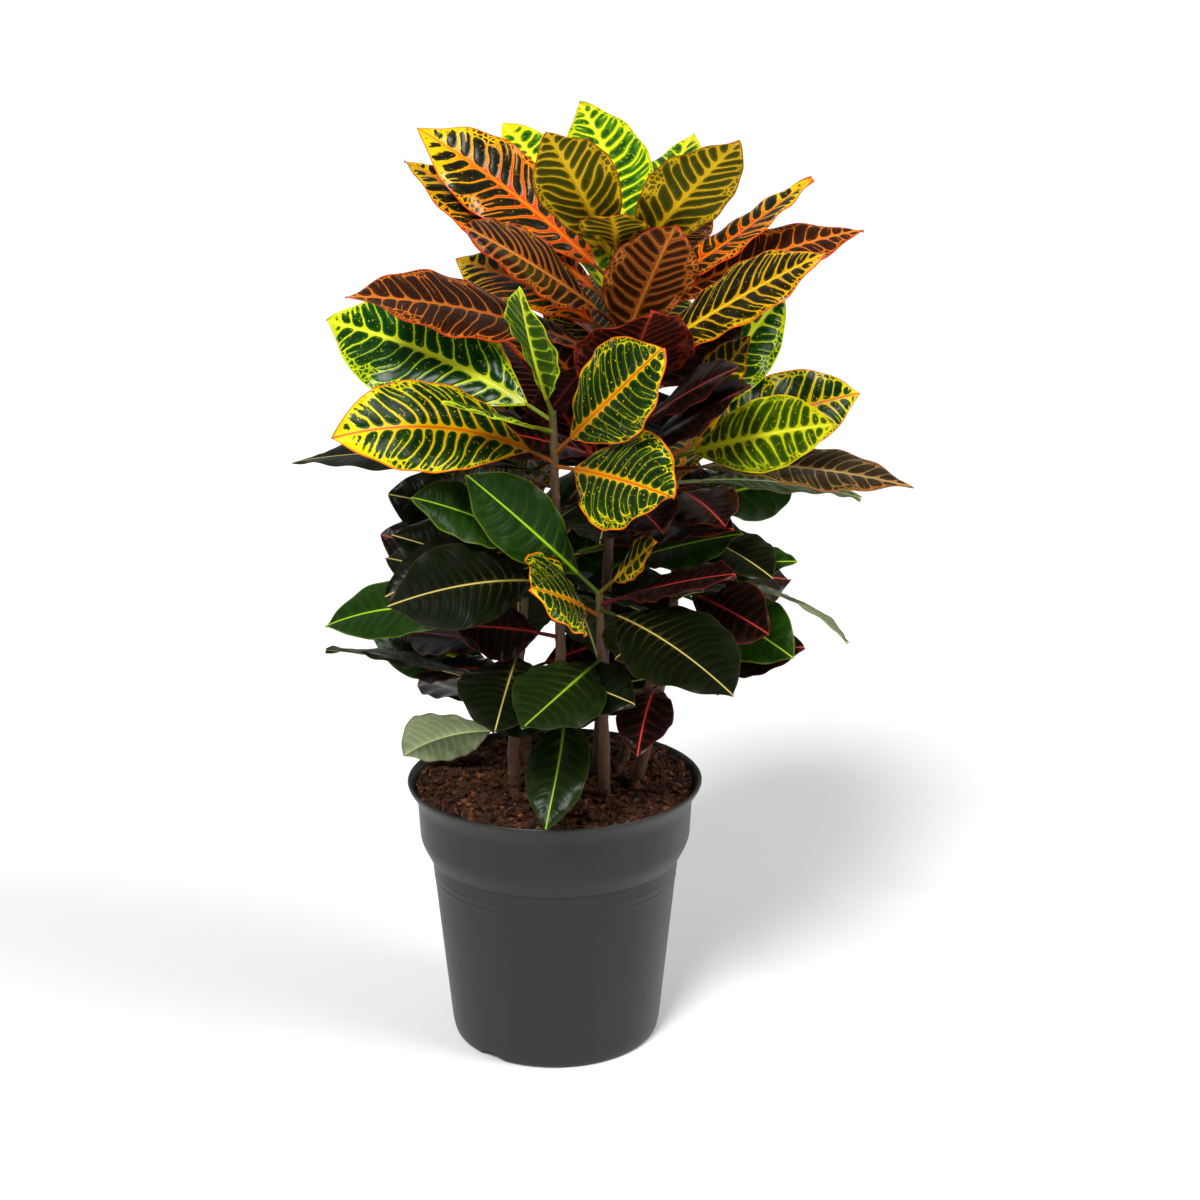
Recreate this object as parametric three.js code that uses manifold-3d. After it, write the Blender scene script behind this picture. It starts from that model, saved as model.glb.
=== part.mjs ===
// A croton with painted leaves, several rooted stems in one round nursery pot.
// Millimetres, +Z up. The origin is the centre of the pot's base, on the surface that it stands on.
// -Y is the side that faces the viewer.
import * as THREE from "three";
import { mergeVertices } from "three/addons/utils/BufferGeometryUtils.js";
import Module from "manifold-3d";

const wasm = await Module();
wasm.setup();

// The pot
const POT_HEIGHT = 193;
const RIM_RADIUS = 105;
const BASE_RADIUS = 75;
const WALL = 2;
const LIP_OVERHANG = 7;
const LIP_DEPTH = 13;
const COLLAR_DEPTH = 42;
const STEP_TOP_RADIUS = 96.5;
const STEP_BOTTOM_RADIUS = 89;
const STEP_BOTTOM = 137;
const POT_SIDES = 40;
const PAD_RADIUS = 46;
const FOOT_WIDTH = 8;
const CHANNEL_HEIGHT = 4;
const DRAIN_HOLES = 8;
const DRAIN_RADIUS = 4.5;
const DRAIN_CIRCLE = 57;
const NOTCH_ANGLES = [-129, 51];
const NOTCH_RADIUS = 20;
const NOTCH_HEIGHT = 5;

// The soil
const GAP = 0.3;
const SOIL_EDGE_HEIGHT = 188;
const SOIL_CROWN = 3;
const SOIL_MOUND = [60, 45, 5, 40];
const SOIL_SIDES = 30;
const SOIL_RINGS = 5;
const SOIL_LUMP = 1.6;

// Stems and leaves
const ROOT_DEPTH = 55;
const STEM_SIDES = 8;
const STEM_STEPS = 7;
const STEM_RADIUS = 4.6;
const STEM_TOP_RADIUS = 2.8;
const HOLE_CLEARANCE = 0.35;
const PETIOLE_LENGTH = 20;
const PETIOLE_RADIUS = 1.4;
const LEAF_THICKNESS = 1;
const LEAF_ROWS = [0.14, 0.36, 0.6, 0.82];
const HIDDEN_ROWS = [0.2, 0.5, 0.8];
const LEAF_ACROSS = [-1, -0.52, 0, 0.52, 1];
const FOLD_DEGREES = 16;
const LAMINA_ARCH = 0.22;
const EDGE_WAVE = 0.035;
const MIDRIB_STEPS = 48;
const TWIST_DEGREES = 12;

// Room that a leaf keeps to the others
const SPARE_THICKNESS = 2.4;
const SPARE_WIDTH = 2;
const PROBE_START = 9;
const TURN_SIZES = [5, 10, 16, 24];
const GOLDEN = 0.618;

const POT_COLOUR = 0x3c3d3c;
const SOIL_COLOUR = 0x4a2a1c;

// One plant: its name, its colour, its axis from the soil to its crown, its outer leaves, its
// inner leaves between the stems, and the leaves behind it that follow a rule. A leaf: height
// on the stem, azimuth, rise above level, length with its stalk, width, droop from stalk to tip,
// roll about its midrib, sweep sideways.
const PLANTS = [
  {
    name: "tall_plant",
    colour: 0x9a6a2a,
    axis: [[30, 5, 190], [34, 4, 260], [38, 2, 360], [42, 0, 460], [45, 0, 556]],
    leaves: [
      [550, 104, 46, 148, 62, 10, -5, 50],
      [548, -117, 44, 145, 56, 10, 30, 0],
      [552, 125, 33, 165, 50, 10, -30, 0],
      [545, -50, 41, 150, 58, 10, -30, 0],
      [556, -95, 30, 95, 48, 20, 0, 0],
      [540, 163, 36, 175, 60, 15, -50, 0],
      [525, 161, 32, 180, 58, 15, -30, 0],
      [515, -140, 30, 150, 60, 10, -50, 0],
      [486, -58, 56, 122, 66, 10, -20, 0],
      [479, -22, 32, 170, 60, 10, 42, 0],
      [490, -159, 16, 195, 66, 25, -30, 0],
      [505, 141, 17, 150, 55, 20, -30, 0],
      [440, -76, 47, 130, 84, 20, 0, 0],
      [415, -43, 31, 140, 62, 10, 30, 0],
      [524, 18, 31, 165, 46, -10, 10, 0],
      [514, 8, 24, 185, 48, 20, 30, 0],
      [540, 44, 30, 140, 42, 10, 0, 0],
      [530, 50, 26, 130, 46, 10, 15, 0],
      [370, -52, 12, 130, 48, 10, 20, 0],
      [386, -100, 2, 105, 50, 15, 0, 0],
      [385, 10, 5, 110, 46, 15, 20, 0],
    ],
    inner: [
      [430, -20, 8, 130, 54, 15, 30, 0],
      [420, -150, 12, 130, 56, 15, -30, 0],
      [395, -75, -8, 115, 52, 20, 20, 0],
      [360, -135, 8, 110, 50, 10, -30, 0],
      [345, -25, 10, 115, 52, 10, 35, 0],
      [455, 2, 18, 115, 48, 10, 50, 0],
      [268, -112, 48, 100, 50, 10, 0, 0],
    ],
    behind: { count: 10, from: 535, to: 405, side: [60, 150], rise: [42, 18] },
  },
  {
    name: "front_plant",
    colour: 0x33602a,
    axis: [[34, -40, 190], [34, -55, 230], [32, -64, 290], [30, -68, 346]],
    leaves: [
      [330, -122, 25, 94, 70, 10, -50, 0],
      [346, -153, 44, 128, 52, 5, -75, 0],
      [346, -55, 38, 78, 32, 0, 60, 0],
      [335, -60, -6, 160, 70, 20, 25, 0],
      [300, -116, -6, 120, 62, 20, -20, -20],
      [338, -42, 20, 120, 46, 10, 20, 0],
    ],
    inner: [
      [286, 166, 6, 88, 46, 10, -55, 0],
    ],
    behind: null,
  },
  {
    name: "front_left_plant",
    colour: 0x5f8a24,
    axis: [[6, -25, 190], [5, -36, 240], [4, -50, 320], [2, -62, 390], [0, -66, 468]],
    leaves: [
      [462, 154, 18, 178, 82, 22, -60, 0],
      [434, -148, 12, 165, 66, 40, -60, 0],
      [466, -104, 49, 125, 48, -20, -40, 0],
      [455, -127, 18, 118, 34, 0, -10, 0],
      [440, -49, 39, 130, 66, 0, 90, 0],
      [432, -52, 0, 117, 72, 10, 55, 0],
      [425, 161, -1, 190, 50, 25, -15, 0],
      [418, 133, -12, 140, 52, 20, -30, 0],
      [405, 139, -17, 150, 40, 30, 0, 0],
      [395, 126, -11, 120, 48, 10, -60, 0],
      [350, -130, 7, 165, 58, 20, -65, 0],
      [365, -131, 12, 125, 48, 20, -50, 0],
      [262, -98, -30, 112, 46, 60, 10, -30],
    ],
    inner: [
      [380, -165, -14, 120, 52, 20, -40, 0],
      [340, 175, 20, 120, 54, 10, -45, 0],
      [310, -155, 0, 95, 50, 10, -60, 0],
    ],
    behind: { count: 5, from: 405, to: 300, side: [65, 150], rise: [38, 8] },
  },
  {
    name: "right_plant",
    colour: 0x4f7a26,
    axis: [[45, 12, 190], [64, 14, 245], [84, 14, 300], [86, 8, 370], [78, 0, 432]],
    leaves: [
      [430, 37, 43, 145, 54, 5, 55, 0],
      [432, -26, 53, 100, 40, 0, 60, 0],
      [425, 23, 12, 155, 60, 10, 65, 0],
      [420, 39, 17, 130, 52, 10, 55, 0],
      [422, -37, 17, 135, 54, 10, 70, 0],
      [415, -30, 2, 178, 46, 20, 20, 0],
      [405, 20, -9, 150, 42, 20, 10, 0],
      [400, -75, 0, 110, 46, 20, 20, 0],
      [385, 43, -5, 110, 52, 10, 70, 0],
      [370, -60, -4, 115, 46, 20, 20, 0],
    ],
    inner: [
      [325, -35, 6, 120, 54, 15, 40, 0],
      [300, -120, 10, 105, 50, 10, -10, 0],
    ],
    behind: { count: 8, from: 415, to: 260, side: [50, 140], rise: [40, 0] },
  },
  {
    name: "low_right_plant",
    colour: 0x2f4d24,
    axis: [[56, -18, 190], [66, -24, 230], [78, -28, 290], [84, -30, 350]],
    leaves: [
      [345, 45, -11, 125, 50, 10, 60, 0],
      [340, -60, 7, 110, 48, 10, 50, 0],
      [335, 24, -21, 150, 30, 60, 0, 0],
      [330, -77, 24, 100, 46, 10, 0, 0],
      [350, -20, 10, 85, 38, 10, 30, 0],
      [300, 68, -36, 110, 44, 10, 0, 0],
      [270, -103, -15, 90, 40, 60, 0, 0],
    ],
    inner: [
      [310, -130, 20, 100, 48, 10, -20, 0],
      [285, -20, 12, 100, 46, 10, 40, 0],
      [266, -172, 4, 90, 46, 10, -50, 0],
    ],
    behind: { count: 3, from: 330, to: 290, side: [15, 100], rise: [30, 8] },
  },
  {
    name: "low_left_plant",
    colour: 0x27481f,
    axis: [[-28, -30, 190], [-29, -38, 225], [-25, -47, 280], [-19, -51, 338]],
    leaves: [
      [318, 154, -7, 158, 48, 40, -50, 0],
      [335, 139, 2, 145, 48, 10, -60, 0],
      [300, 129, -7, 130, 46, 10, -30, 0],
      [285, 128, -14, 125, 40, 10, -20, 0],
      [305, -97, -9, 125, 66, 10, -10, 0],
      [240, 141, -26, 112, 48, 30, 60, 0],
    ],
    inner: [
      [290, -40, 12, 100, 48, 10, 30, 0],
    ],
    behind: { count: 6, from: 325, to: 235, side: [70, 150], rise: [34, -6] },
  },
  {
    name: "back_plant",
    colour: 0x3f6a28,
    axis: [[-20, 36, 190], [-26, 44, 250], [-28, 48, 330], [-22, 46, 420]],
    leaves: [],
    inner: [
      [418, -60, 40, 125, 56, 10, 10, 0],
      [410, -125, 30, 125, 56, 10, -20, 0],
      [400, 12, 22, 130, 56, 10, 60, 0],
      [396, 160, 24, 95, 50, 10, -60, 0],
      [368, -12, 14, 130, 56, 10, 60, 0],
      [362, -170, 16, 95, 52, 10, -60, 0],
      [345, -80, 45, 120, 54, 10, 0, 0],
      [330, 12, 12, 130, 56, 10, 60, 0],
      [326, 164, 14, 105, 54, 10, -60, 0],
      [292, -12, 14, 125, 54, 10, 60, 0],
      [288, -174, 14, 100, 52, 10, -60, 0],
      [255, 14, 14, 120, 52, 10, 60, 0],
      [250, 166, 14, 115, 50, 10, -60, 0],
      [228, 6, 12, 105, 46, 10, 60, 0],
      [262, -88, 50, 105, 54, 10, 0, 0],
    ],
    behind: { count: 12, from: 415, to: 262, side: [40, 150], rise: [52, 25] },
  },
];

const radians = THREE.MathUtils.degToRad;

function turned(a, b, angle) {
  return a.clone().multiplyScalar(Math.cos(angle)).addScaledVector(b, Math.sin(angle));
}

// A closed solid through rings of equal count. Both halves of a ring are split alike, so a thin
// waved blade keeps its thickness. A last ring of one point closes to a tip.
function loft(rings) {
  const count = rings[0].length;
  const points = rings.flat();
  const index = [];
  const quad = (a, b, c, d, alike) => {
    if (alike) index.push(a, b, c, a, c, d);
    else index.push(a, b, d, b, c, d);
  };
  for (let row = 0; row + 1 < rings.length; row++) {
    const here = row * count;
    const next = here + count;
    for (let j = 0; j < count; j++) {
      const k = (j + 1) % count;
      if (rings[row + 1].length === 1) index.push(here + j, here + k, next);
      else quad(here + j, here + k, next + k, next + j, j < count / 2);
    }
  }
  const cap = (start, flip) => {
    for (let j = 0; j < count / 2 - 1; j++) {
      const [a, b] = [start + j, start + j + 1];
      const [c, d] = [start + count - 2 - j, start + count - 1 - j];
      const corners = flip ? [[a, d, c], [a, c, b]] : [[a, c, d], [a, b, c]];
      for (const [p, q, r] of corners) if (p !== q && q !== r && r !== p) index.push(p, q, r);
    }
  };
  cap(0, true);
  if (rings.at(-1).length > 1) cap((rings.length - 1) * count, false);
  const geometry = new THREE.BufferGeometry().setFromPoints(points);
  geometry.setIndex(index);
  return geometry;
}

function solid(geometry) {
  const bare = geometry.clone();
  bare.deleteAttribute("normal");
  bare.deleteAttribute("uv");
  const merged = mergeVertices(bare, 1e-4);
  const corners = merged.index.array;
  const triangles = [];
  for (let i = 0; i < corners.length; i += 3) {
    const [a, b, c] = corners.slice(i, i + 3);
    if (a !== b && b !== c && c !== a) triangles.push(a, b, c);
  }
  return new wasm.Manifold(new wasm.Mesh({
    numProp: 3,
    vertProperties: Float32Array.from(merged.attributes.position.array),
    triVerts: Uint32Array.from(triangles),
  }));
}

function mesh(name, body, colour, roughness) {
  const { vertProperties, triVerts } = body.getMesh();
  const geometry = new THREE.BufferGeometry();
  geometry.setAttribute("position", new THREE.BufferAttribute(vertProperties, 3));
  geometry.setIndex(new THREE.BufferAttribute(triVerts, 1));
  geometry.computeVertexNormals();
  const material = new THREE.MeshStandardMaterial({ color: colour, roughness, metalness: 0 });
  const piece = new THREE.Mesh(geometry, material);
  piece.name = name;
  return piece;
}

// A body turned about the pot's axis from [radius, height] points
function turnedBody(profile, sides) {
  const outline = profile.map(([radius, height]) => new THREE.Vector2(radius, height));
  const geometry = new THREE.LatheGeometry(outline, sides);
  return geometry.rotateX(Math.PI / 2);
}

function potBody() {
  const collarBottom = POT_HEIGHT - COLLAR_DEPTH;
  const collarTop = POT_HEIGHT - LIP_DEPTH;
  const collarRadius = RIM_RADIUS - LIP_OVERHANG;
  const footInside = BASE_RADIUS - FOOT_WIDTH;
  const profile = [
    [0, 0],
    [PAD_RADIUS, 0],
    [PAD_RADIUS + 3, CHANNEL_HEIGHT],
    [footInside - 1, CHANNEL_HEIGHT],
    [footInside, 0],
    [BASE_RADIUS - 4, 0],
    [BASE_RADIUS - 1, 2.5],
    [BASE_RADIUS + 0.5, 8],
    [STEP_BOTTOM_RADIUS, STEP_BOTTOM],
    [STEP_TOP_RADIUS, collarBottom],
    [collarRadius, collarTop],
    [collarRadius + 2.2, collarTop + 6],
    [RIM_RADIUS - 0.6, POT_HEIGHT - 3],
    [RIM_RADIUS, POT_HEIGHT - 1],
    [RIM_RADIUS - 1, POT_HEIGHT],
    [RIM_RADIUS - 2.6, POT_HEIGHT - 0.6],
    [collarRadius + 0.3, collarTop + 7],
    [collarRadius - WALL, collarTop],
    [STEP_TOP_RADIUS - WALL, collarBottom + 1],
    [STEP_BOTTOM_RADIUS - WALL, STEP_BOTTOM + 1],
    [BASE_RADIUS - WALL, 9],
    [BASE_RADIUS - 5, CHANNEL_HEIGHT + WALL],
    [PAD_RADIUS + 3, CHANNEL_HEIGHT + WALL],
    [PAD_RADIUS, WALL],
    [0, WALL],
  ];
  let body = solid(turnedBody(profile, POT_SIDES));
  for (let i = 0; i < DRAIN_HOLES; i++) {
    const angle = ((i + 0.5) / DRAIN_HOLES) * 2 * Math.PI;
    const hole = new THREE.CylinderGeometry(DRAIN_RADIUS, DRAIN_RADIUS, 4 * WALL, 8);
    hole.rotateX(Math.PI / 2);
    hole.translate(
      DRAIN_CIRCLE * Math.cos(angle), DRAIN_CIRCLE * Math.sin(angle), CHANNEL_HEIGHT + WALL / 2);
    body = body.subtract(solid(hole));
  }
  for (const degrees of NOTCH_ANGLES) {
    const notch = new THREE.CylinderGeometry(NOTCH_RADIUS, NOTCH_RADIUS, 2 * FOOT_WIDTH + 4, 20);
    notch.rotateZ(Math.PI / 2);
    notch.translate(BASE_RADIUS - 1, 0, NOTCH_HEIGHT - NOTCH_RADIUS);
    notch.rotateZ(radians(degrees));
    body = body.subtract(solid(notch));
  }
  return body;
}

// Lumps all over, and one low mound
function soilLump(x, y) {
  const [moundX, moundY, height, spread] = SOIL_MOUND;
  const away = Math.hypot(x - moundX, y - moundY) / spread;
  const lumps = Math.sin(0.17 * x + 0.11 * y) + Math.sin(0.21 * y - 0.09 * x + 1.3);
  return SOIL_LUMP * lumps + height * Math.exp(-away * away);
}

function soilBody() {
  const edge = innerRadius(SOIL_EDGE_HEIGHT) - GAP;
  const top = [];
  for (let i = 0; i <= SOIL_RINGS; i++) {
    const share = i / SOIL_RINGS;
    top.push([edge * share, SOIL_EDGE_HEIGHT + SOIL_CROWN * (1 - share * share)]);
  }
  const collarBottom = POT_HEIGHT - COLLAR_DEPTH;
  const profile = [
    [0, WALL + GAP],
    [PAD_RADIUS - 0.5, WALL + GAP],
    [PAD_RADIUS + 2.6, CHANNEL_HEIGHT + WALL + GAP],
    [BASE_RADIUS - 5.5, CHANNEL_HEIGHT + WALL + GAP],
    [BASE_RADIUS - WALL - GAP, 9.5],
    [STEP_BOTTOM_RADIUS - WALL - GAP, STEP_BOTTOM + 1.3],
    [STEP_TOP_RADIUS - WALL - GAP, collarBottom + 1.3],
    [innerRadius(POT_HEIGHT - LIP_DEPTH) - GAP, POT_HEIGHT - LIP_DEPTH],
    ...top.reverse(),
  ];
  const geometry = turnedBody(profile, SOIL_SIDES);
  const place = geometry.attributes.position;
  for (let i = 0; i < place.count; i++) {
    const [x, y, z] = [place.getX(i), place.getY(i), place.getZ(i)];
    const radius = Math.hypot(x, y);
    if (z > SOIL_EDGE_HEIGHT - 1 && radius < edge - 2) place.setZ(i, z + soilLump(x, y));
  }
  return solid(geometry);
}

// The pot wall's inner radius at a height on the flared lip
function innerRadius(height) {
  const low = POT_HEIGHT - LIP_DEPTH;
  const share = (height - low) / (LIP_DEPTH - 6);
  return RIM_RADIUS - LIP_OVERHANG - WALL + share * (WALL + 0.3);
}

function axisAt(axis, height) {
  let i = 0;
  while (i < axis.length - 2 && height > axis[i + 1][2]) i++;
  const [a, b] = [axis[i], axis[i + 1]];
  const share = (height - a[2]) / (b[2] - a[2]);
  return new THREE.Vector3(...a).lerp(new THREE.Vector3(...b), share);
}

function ringAround(centre, radius) {
  const ring = [];
  for (let j = 0; j < STEM_SIDES; j++) {
    const angle = (j / STEM_SIDES) * 2 * Math.PI;
    ring.push(new THREE.Vector3(
      centre.x + radius * Math.cos(angle), centre.y + radius * Math.sin(angle), centre.z));
  }
  return ring;
}

function stemBody(axis) {
  const [x, y, soil] = axis[0];
  const top = axis.at(-1)[2];
  const rings = [ringAround(new THREE.Vector3(x, y, soil - ROOT_DEPTH), STEM_RADIUS)];
  rings.push(ringAround(new THREE.Vector3(x, y, soil + 8), STEM_RADIUS));
  for (let i = 1; i <= STEM_STEPS; i++) {
    const share = i / STEM_STEPS;
    const centre = axisAt(axis, soil + 8 + share * (top - soil - 6));
    rings.push(ringAround(centre, STEM_RADIUS + share * (STEM_TOP_RADIUS - STEM_RADIUS)));
  }
  return solid(loft(rings));
}

function stemHole(axis) {
  const [x, y, soil] = axis[0];
  const radius = STEM_RADIUS + HOLE_CLEARANCE;
  const low = new THREE.Vector3(x, y, soil - ROOT_DEPTH - GAP);
  const high = new THREE.Vector3(x, y, soil + 20);
  return solid(loft([ringAround(low, radius), ringAround(high, radius)]));
}

// The way that the midrib runs at a share of its length
function headingOf([, azimuth, rise, , , droop, , sweep], share) {
  const up = radians(rise + droop * (0.5 - share));
  const round = radians(azimuth + sweep * (share - 0.5));
  return new THREE.Vector3(
    Math.cos(up) * Math.cos(round), Math.cos(up) * Math.sin(round), Math.sin(up));
}

// The midrib's points, from the stem's axis to the leaf's tip
function midribOf(start, leaf) {
  const length = leaf[3];
  const points = [new THREE.Vector3()];
  for (let i = 0; i < MIDRIB_STEPS; i++) {
    points.push(points.at(-1).clone().add(headingOf(leaf, (i + 0.5) / MIDRIB_STEPS)));
  }
  const scale = length / points.at(-1).length();
  return points.map((point) => point.multiplyScalar(scale).add(start));
}

// Half the blade's width at a share of its length. A slender leaf has a drawn-out tip.
function halfWidth(share, [, , , length, width]) {
  const body = Math.sin(Math.PI * share ** 1.2) ** 0.8;
  const narrow = Math.max(0, 0.9 - (1.6 * width) / length);
  return Math.max(
    PETIOLE_RADIUS, (width / 2) * body * (1 - narrow * Math.max(0, (share - 0.78) / 0.22) ** 2));
}

// Where the midrib is at a share of its whole length, with the sideways and upward directions
function frameAt(midrib, leaf, share) {
  const [height, azimuth, , , , , roll] = leaf;
  const place = Math.min(share * MIDRIB_STEPS, MIDRIB_STEPS - 1e-6);
  const i = Math.floor(place);
  const along = headingOf(leaf, share);
  const level = new THREE.Vector3(-Math.sin(radians(azimuth)), Math.cos(radians(azimuth)), 0);
  level.addScaledVector(along, -along.dot(level)).normalize();
  const upright = new THREE.Vector3().crossVectors(along, level);
  const twist = TWIST_DEGREES * Math.sin(1.7 * height) * (share - 0.5);
  const angle = radians(roll + twist);
  return {
    centre: midrib[i].clone().lerp(midrib[i + 1], place - i),
    side: turned(level, upright, angle),
    normal: turned(upright, level, -angle),
  };
}

function bladeRing(midrib, leaf, share, spare) {
  const [height, , , length, width] = leaf;
  const stalk = PETIOLE_LENGTH / length;
  const { centre, side, normal } = frameAt(midrib, leaf, stalk + (1 - stalk) * share);
  const half = halfWidth(share, leaf);
  const wide = half + spare * SPARE_WIDTH;
  const thick = (LEAF_THICKNESS + spare * SPARE_THICKNESS) / 2;
  const fold = radians(FOLD_DEGREES);
  const point = (across, lift) => {
    const phase = 3 * Math.PI * share + (across > 0 ? 0 : 2.1) + 0.37 * height;
    const wave = EDGE_WAVE * width * across * across * Math.sin(phase) * Math.min(1, 3 * share);
    const rise = half * (Math.abs(across) * Math.sin(fold) - LAMINA_ARCH * across * across);
    return centre.clone()
      .addScaledVector(side, wide * across * Math.cos(fold))
      .addScaledVector(normal, rise + wave + lift);
  };
  const top = LEAF_ACROSS.map((across) => point(across, thick));
  const under = LEAF_ACROSS.map((across) => point(across, -thick));
  return [...under, ...top.reverse()];
}

// The stalk is square in section: the inner points of its ring lie together, above and below
function stalkRing(midrib, leaf, share) {
  const { centre, side, normal } = frameAt(midrib, leaf, share);
  const point = (across, lift) => centre.clone()
    .addScaledVector(side, PETIOLE_RADIUS * across)
    .addScaledVector(normal, PETIOLE_RADIUS * lift);
  const ends = (across) => (Math.abs(across) === 1 ? across : 0);
  const under = LEAF_ACROSS.map((across) => point(ends(across), ends(across) ? 0 : -1));
  const top = LEAF_ACROSS.map((across) => point(ends(across), ends(across) ? 0 : 1));
  return [...under, ...top.reverse()];
}

// A leaf from stalkStart, measured from the stem's axis. spare is 1 for the room that it needs.
function leafBody(axis, leaf, rows, stalkStart, spare) {
  const midrib = midribOf(axisAt(axis, leaf[0]), leaf);
  const length = leaf[3];
  const rings = [
    stalkRing(midrib, leaf, stalkStart / length),
    stalkRing(midrib, leaf, PETIOLE_LENGTH / length),
  ];
  for (const share of rows) rings.push(bladeRing(midrib, leaf, share, spare));
  rings.push([midrib.at(-1)]);
  return solid(loft(rings));
}

// The small turns that a leaf may take, each a change of azimuth, rise and roll
function turns() {
  const list = [[0, 0, 0]];
  for (const size of TURN_SIZES) {
    for (const [round, up] of [[1, 0], [-1, 0], [0, 1], [0, -1], [1, 1], [-1, 1], [1, -1], [-1, -1]]) {
      list.push([size * round, size * up, 0]);
    }
    list.push([0, 0, 1.5 * size], [0, 0, -1.5 * size]);
  }
  return list;
}

function boxesMeet(a, b) {
  return [0, 1, 2].every((i) => a.min[i] < b.max[i] && b.min[i] < a.max[i]);
}

// The leaves on a plant's far side, with azimuths spread by the golden ratio
function leavesBehind({ count, from, to, side, rise }, seed) {
  return Array.from({ length: count }, (_, i) => {
    const share = count > 1 ? i / (count - 1) : 0;
    const spread = (GOLDEN * (i + seed)) % 1;
    return [
      from + share * (to - from),
      side[0] + spread * (side[1] - side[0]),
      rise[0] + share * (rise[1] - rise[0]),
      150 + 22 * Math.sin(2.3 * i + seed),
      56 + 7 * Math.sin(1.9 * i + 2 * seed),
      16 + 10 * Math.sin(1.1 * i),
      22 * Math.sin(2.7 * i + seed),
      0,
    ];
  });
}

const pot = potBody();
let soil = soilBody();
for (const { axis } of PLANTS) soil = soil.subtract(stemHole(axis));

const stems = PLANTS.map(({ axis }) => stemBody(axis));
const taken = [pot, soil, ...stems].map((body) => ({ body, box: body.boundingBox() }));
const grown = PLANTS.map(() => []);

function isClear(probe) {
  const box = probe.boundingBox();
  return taken.every((other) => (
    !boxesMeet(box, other.box) || probe.intersect(other.body).isEmpty()));
}

// Each leaf takes the first of its turns that touches nothing placed before it
function grow(which, leaf, rows) {
  const { axis } = PLANTS[which];
  for (const [round, up, over] of turns()) {
    const turnedLeaf = leaf.slice();
    turnedLeaf[1] += round;
    turnedLeaf[2] += up;
    turnedLeaf[6] += over;
    if (!isClear(leafBody(axis, turnedLeaf, rows, PROBE_START, 1))) continue;
    const body = leafBody(axis, turnedLeaf, rows, 0, 0);
    const outer = leafBody(axis, turnedLeaf, rows, PROBE_START, 0);
    taken.push({ body: outer, box: body.boundingBox() });
    grown[which].push(body);
    return;
  }
}

PLANTS.forEach(({ leaves }, which) => leaves.forEach((leaf) => grow(which, leaf, LEAF_ROWS)));
PLANTS.forEach(({ inner }, which) => inner.forEach((leaf) => grow(which, leaf, HIDDEN_ROWS)));
PLANTS.forEach(({ behind }, which) => {
  if (behind) leavesBehind(behind, which).forEach((leaf) => grow(which, leaf, HIDDEN_ROWS));
});

const croton = new THREE.Group();
croton.add(mesh("pot", pot, POT_COLOUR, 0.5));
croton.add(mesh("soil", soil, SOIL_COLOUR, 0.95));
PLANTS.forEach(({ name, colour }, which) => {
  const plant = wasm.Manifold.union([stems[which], ...grown[which]]);
  const piece = mesh(name, plant, colour, 0.4);
  piece.userData.leaves = grown[which].length;
  croton.add(piece);
});

export default croton;
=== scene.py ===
# %% [markdown]
# # A potted croton
# A croton is a tropical house plant with thick, glossy, painted leaves. This one is a nursery pot with
# seven rooted stems in damp soil, and each stem carries its own crown of leaves.
#
# The solid model is loaded first as a fixed frame. It says where the pot, the soil, every stem and every
# leaf are. This script then builds a finer piece over each of them, in the same place, and paints it.
# Work from the big, plain pieces to the small ones: camera and light, pot, soil, stems, leaves.

# %% Load the frame
import math
import random

import bmesh
import bpy
import numpy as np
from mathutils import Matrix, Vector, kdtree, noise


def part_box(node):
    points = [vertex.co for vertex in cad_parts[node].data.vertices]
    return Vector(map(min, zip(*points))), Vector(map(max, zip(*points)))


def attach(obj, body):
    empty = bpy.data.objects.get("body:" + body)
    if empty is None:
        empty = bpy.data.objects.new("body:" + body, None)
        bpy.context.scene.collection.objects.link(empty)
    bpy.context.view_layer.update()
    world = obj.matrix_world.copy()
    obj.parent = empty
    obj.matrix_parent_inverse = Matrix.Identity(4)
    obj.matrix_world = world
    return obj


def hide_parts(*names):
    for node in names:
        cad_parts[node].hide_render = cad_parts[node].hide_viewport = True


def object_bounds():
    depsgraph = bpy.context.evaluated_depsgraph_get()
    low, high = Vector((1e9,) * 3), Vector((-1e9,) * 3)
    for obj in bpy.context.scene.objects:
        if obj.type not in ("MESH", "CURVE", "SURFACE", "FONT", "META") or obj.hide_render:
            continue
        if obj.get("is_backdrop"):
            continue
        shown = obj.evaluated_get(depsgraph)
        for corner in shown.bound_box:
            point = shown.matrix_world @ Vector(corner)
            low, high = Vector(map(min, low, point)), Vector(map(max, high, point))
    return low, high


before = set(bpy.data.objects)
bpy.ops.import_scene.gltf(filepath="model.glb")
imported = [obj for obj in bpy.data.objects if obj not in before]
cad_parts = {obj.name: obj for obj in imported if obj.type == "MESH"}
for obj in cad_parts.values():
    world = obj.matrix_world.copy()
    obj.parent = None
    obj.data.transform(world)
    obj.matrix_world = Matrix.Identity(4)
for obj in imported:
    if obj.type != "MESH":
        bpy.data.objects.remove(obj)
CAD_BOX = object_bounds()
MM = 0.001
print("the frame holds", len(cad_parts), "nodes and is", round(CAD_BOX[1].z, 3), "m tall")

# %% [markdown]
# ## Camera
# The view is that of someone who stands a step and a half away and looks a little down on the pot. A long
# lens keeps the pot's sides straight. Put the camera in early, so that every later piece can be judged in
# the same picture.

# %% Camera
CAMERA_PLACE = (0.0, -1.463, 0.734)
CAMERA_DOWN = 15.7
CAMERA_RIGHT = 1.26
LENS = 65.34
SENSOR_WIDTH = 36.0
FARTHEST_VIEW = 2000.0

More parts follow.
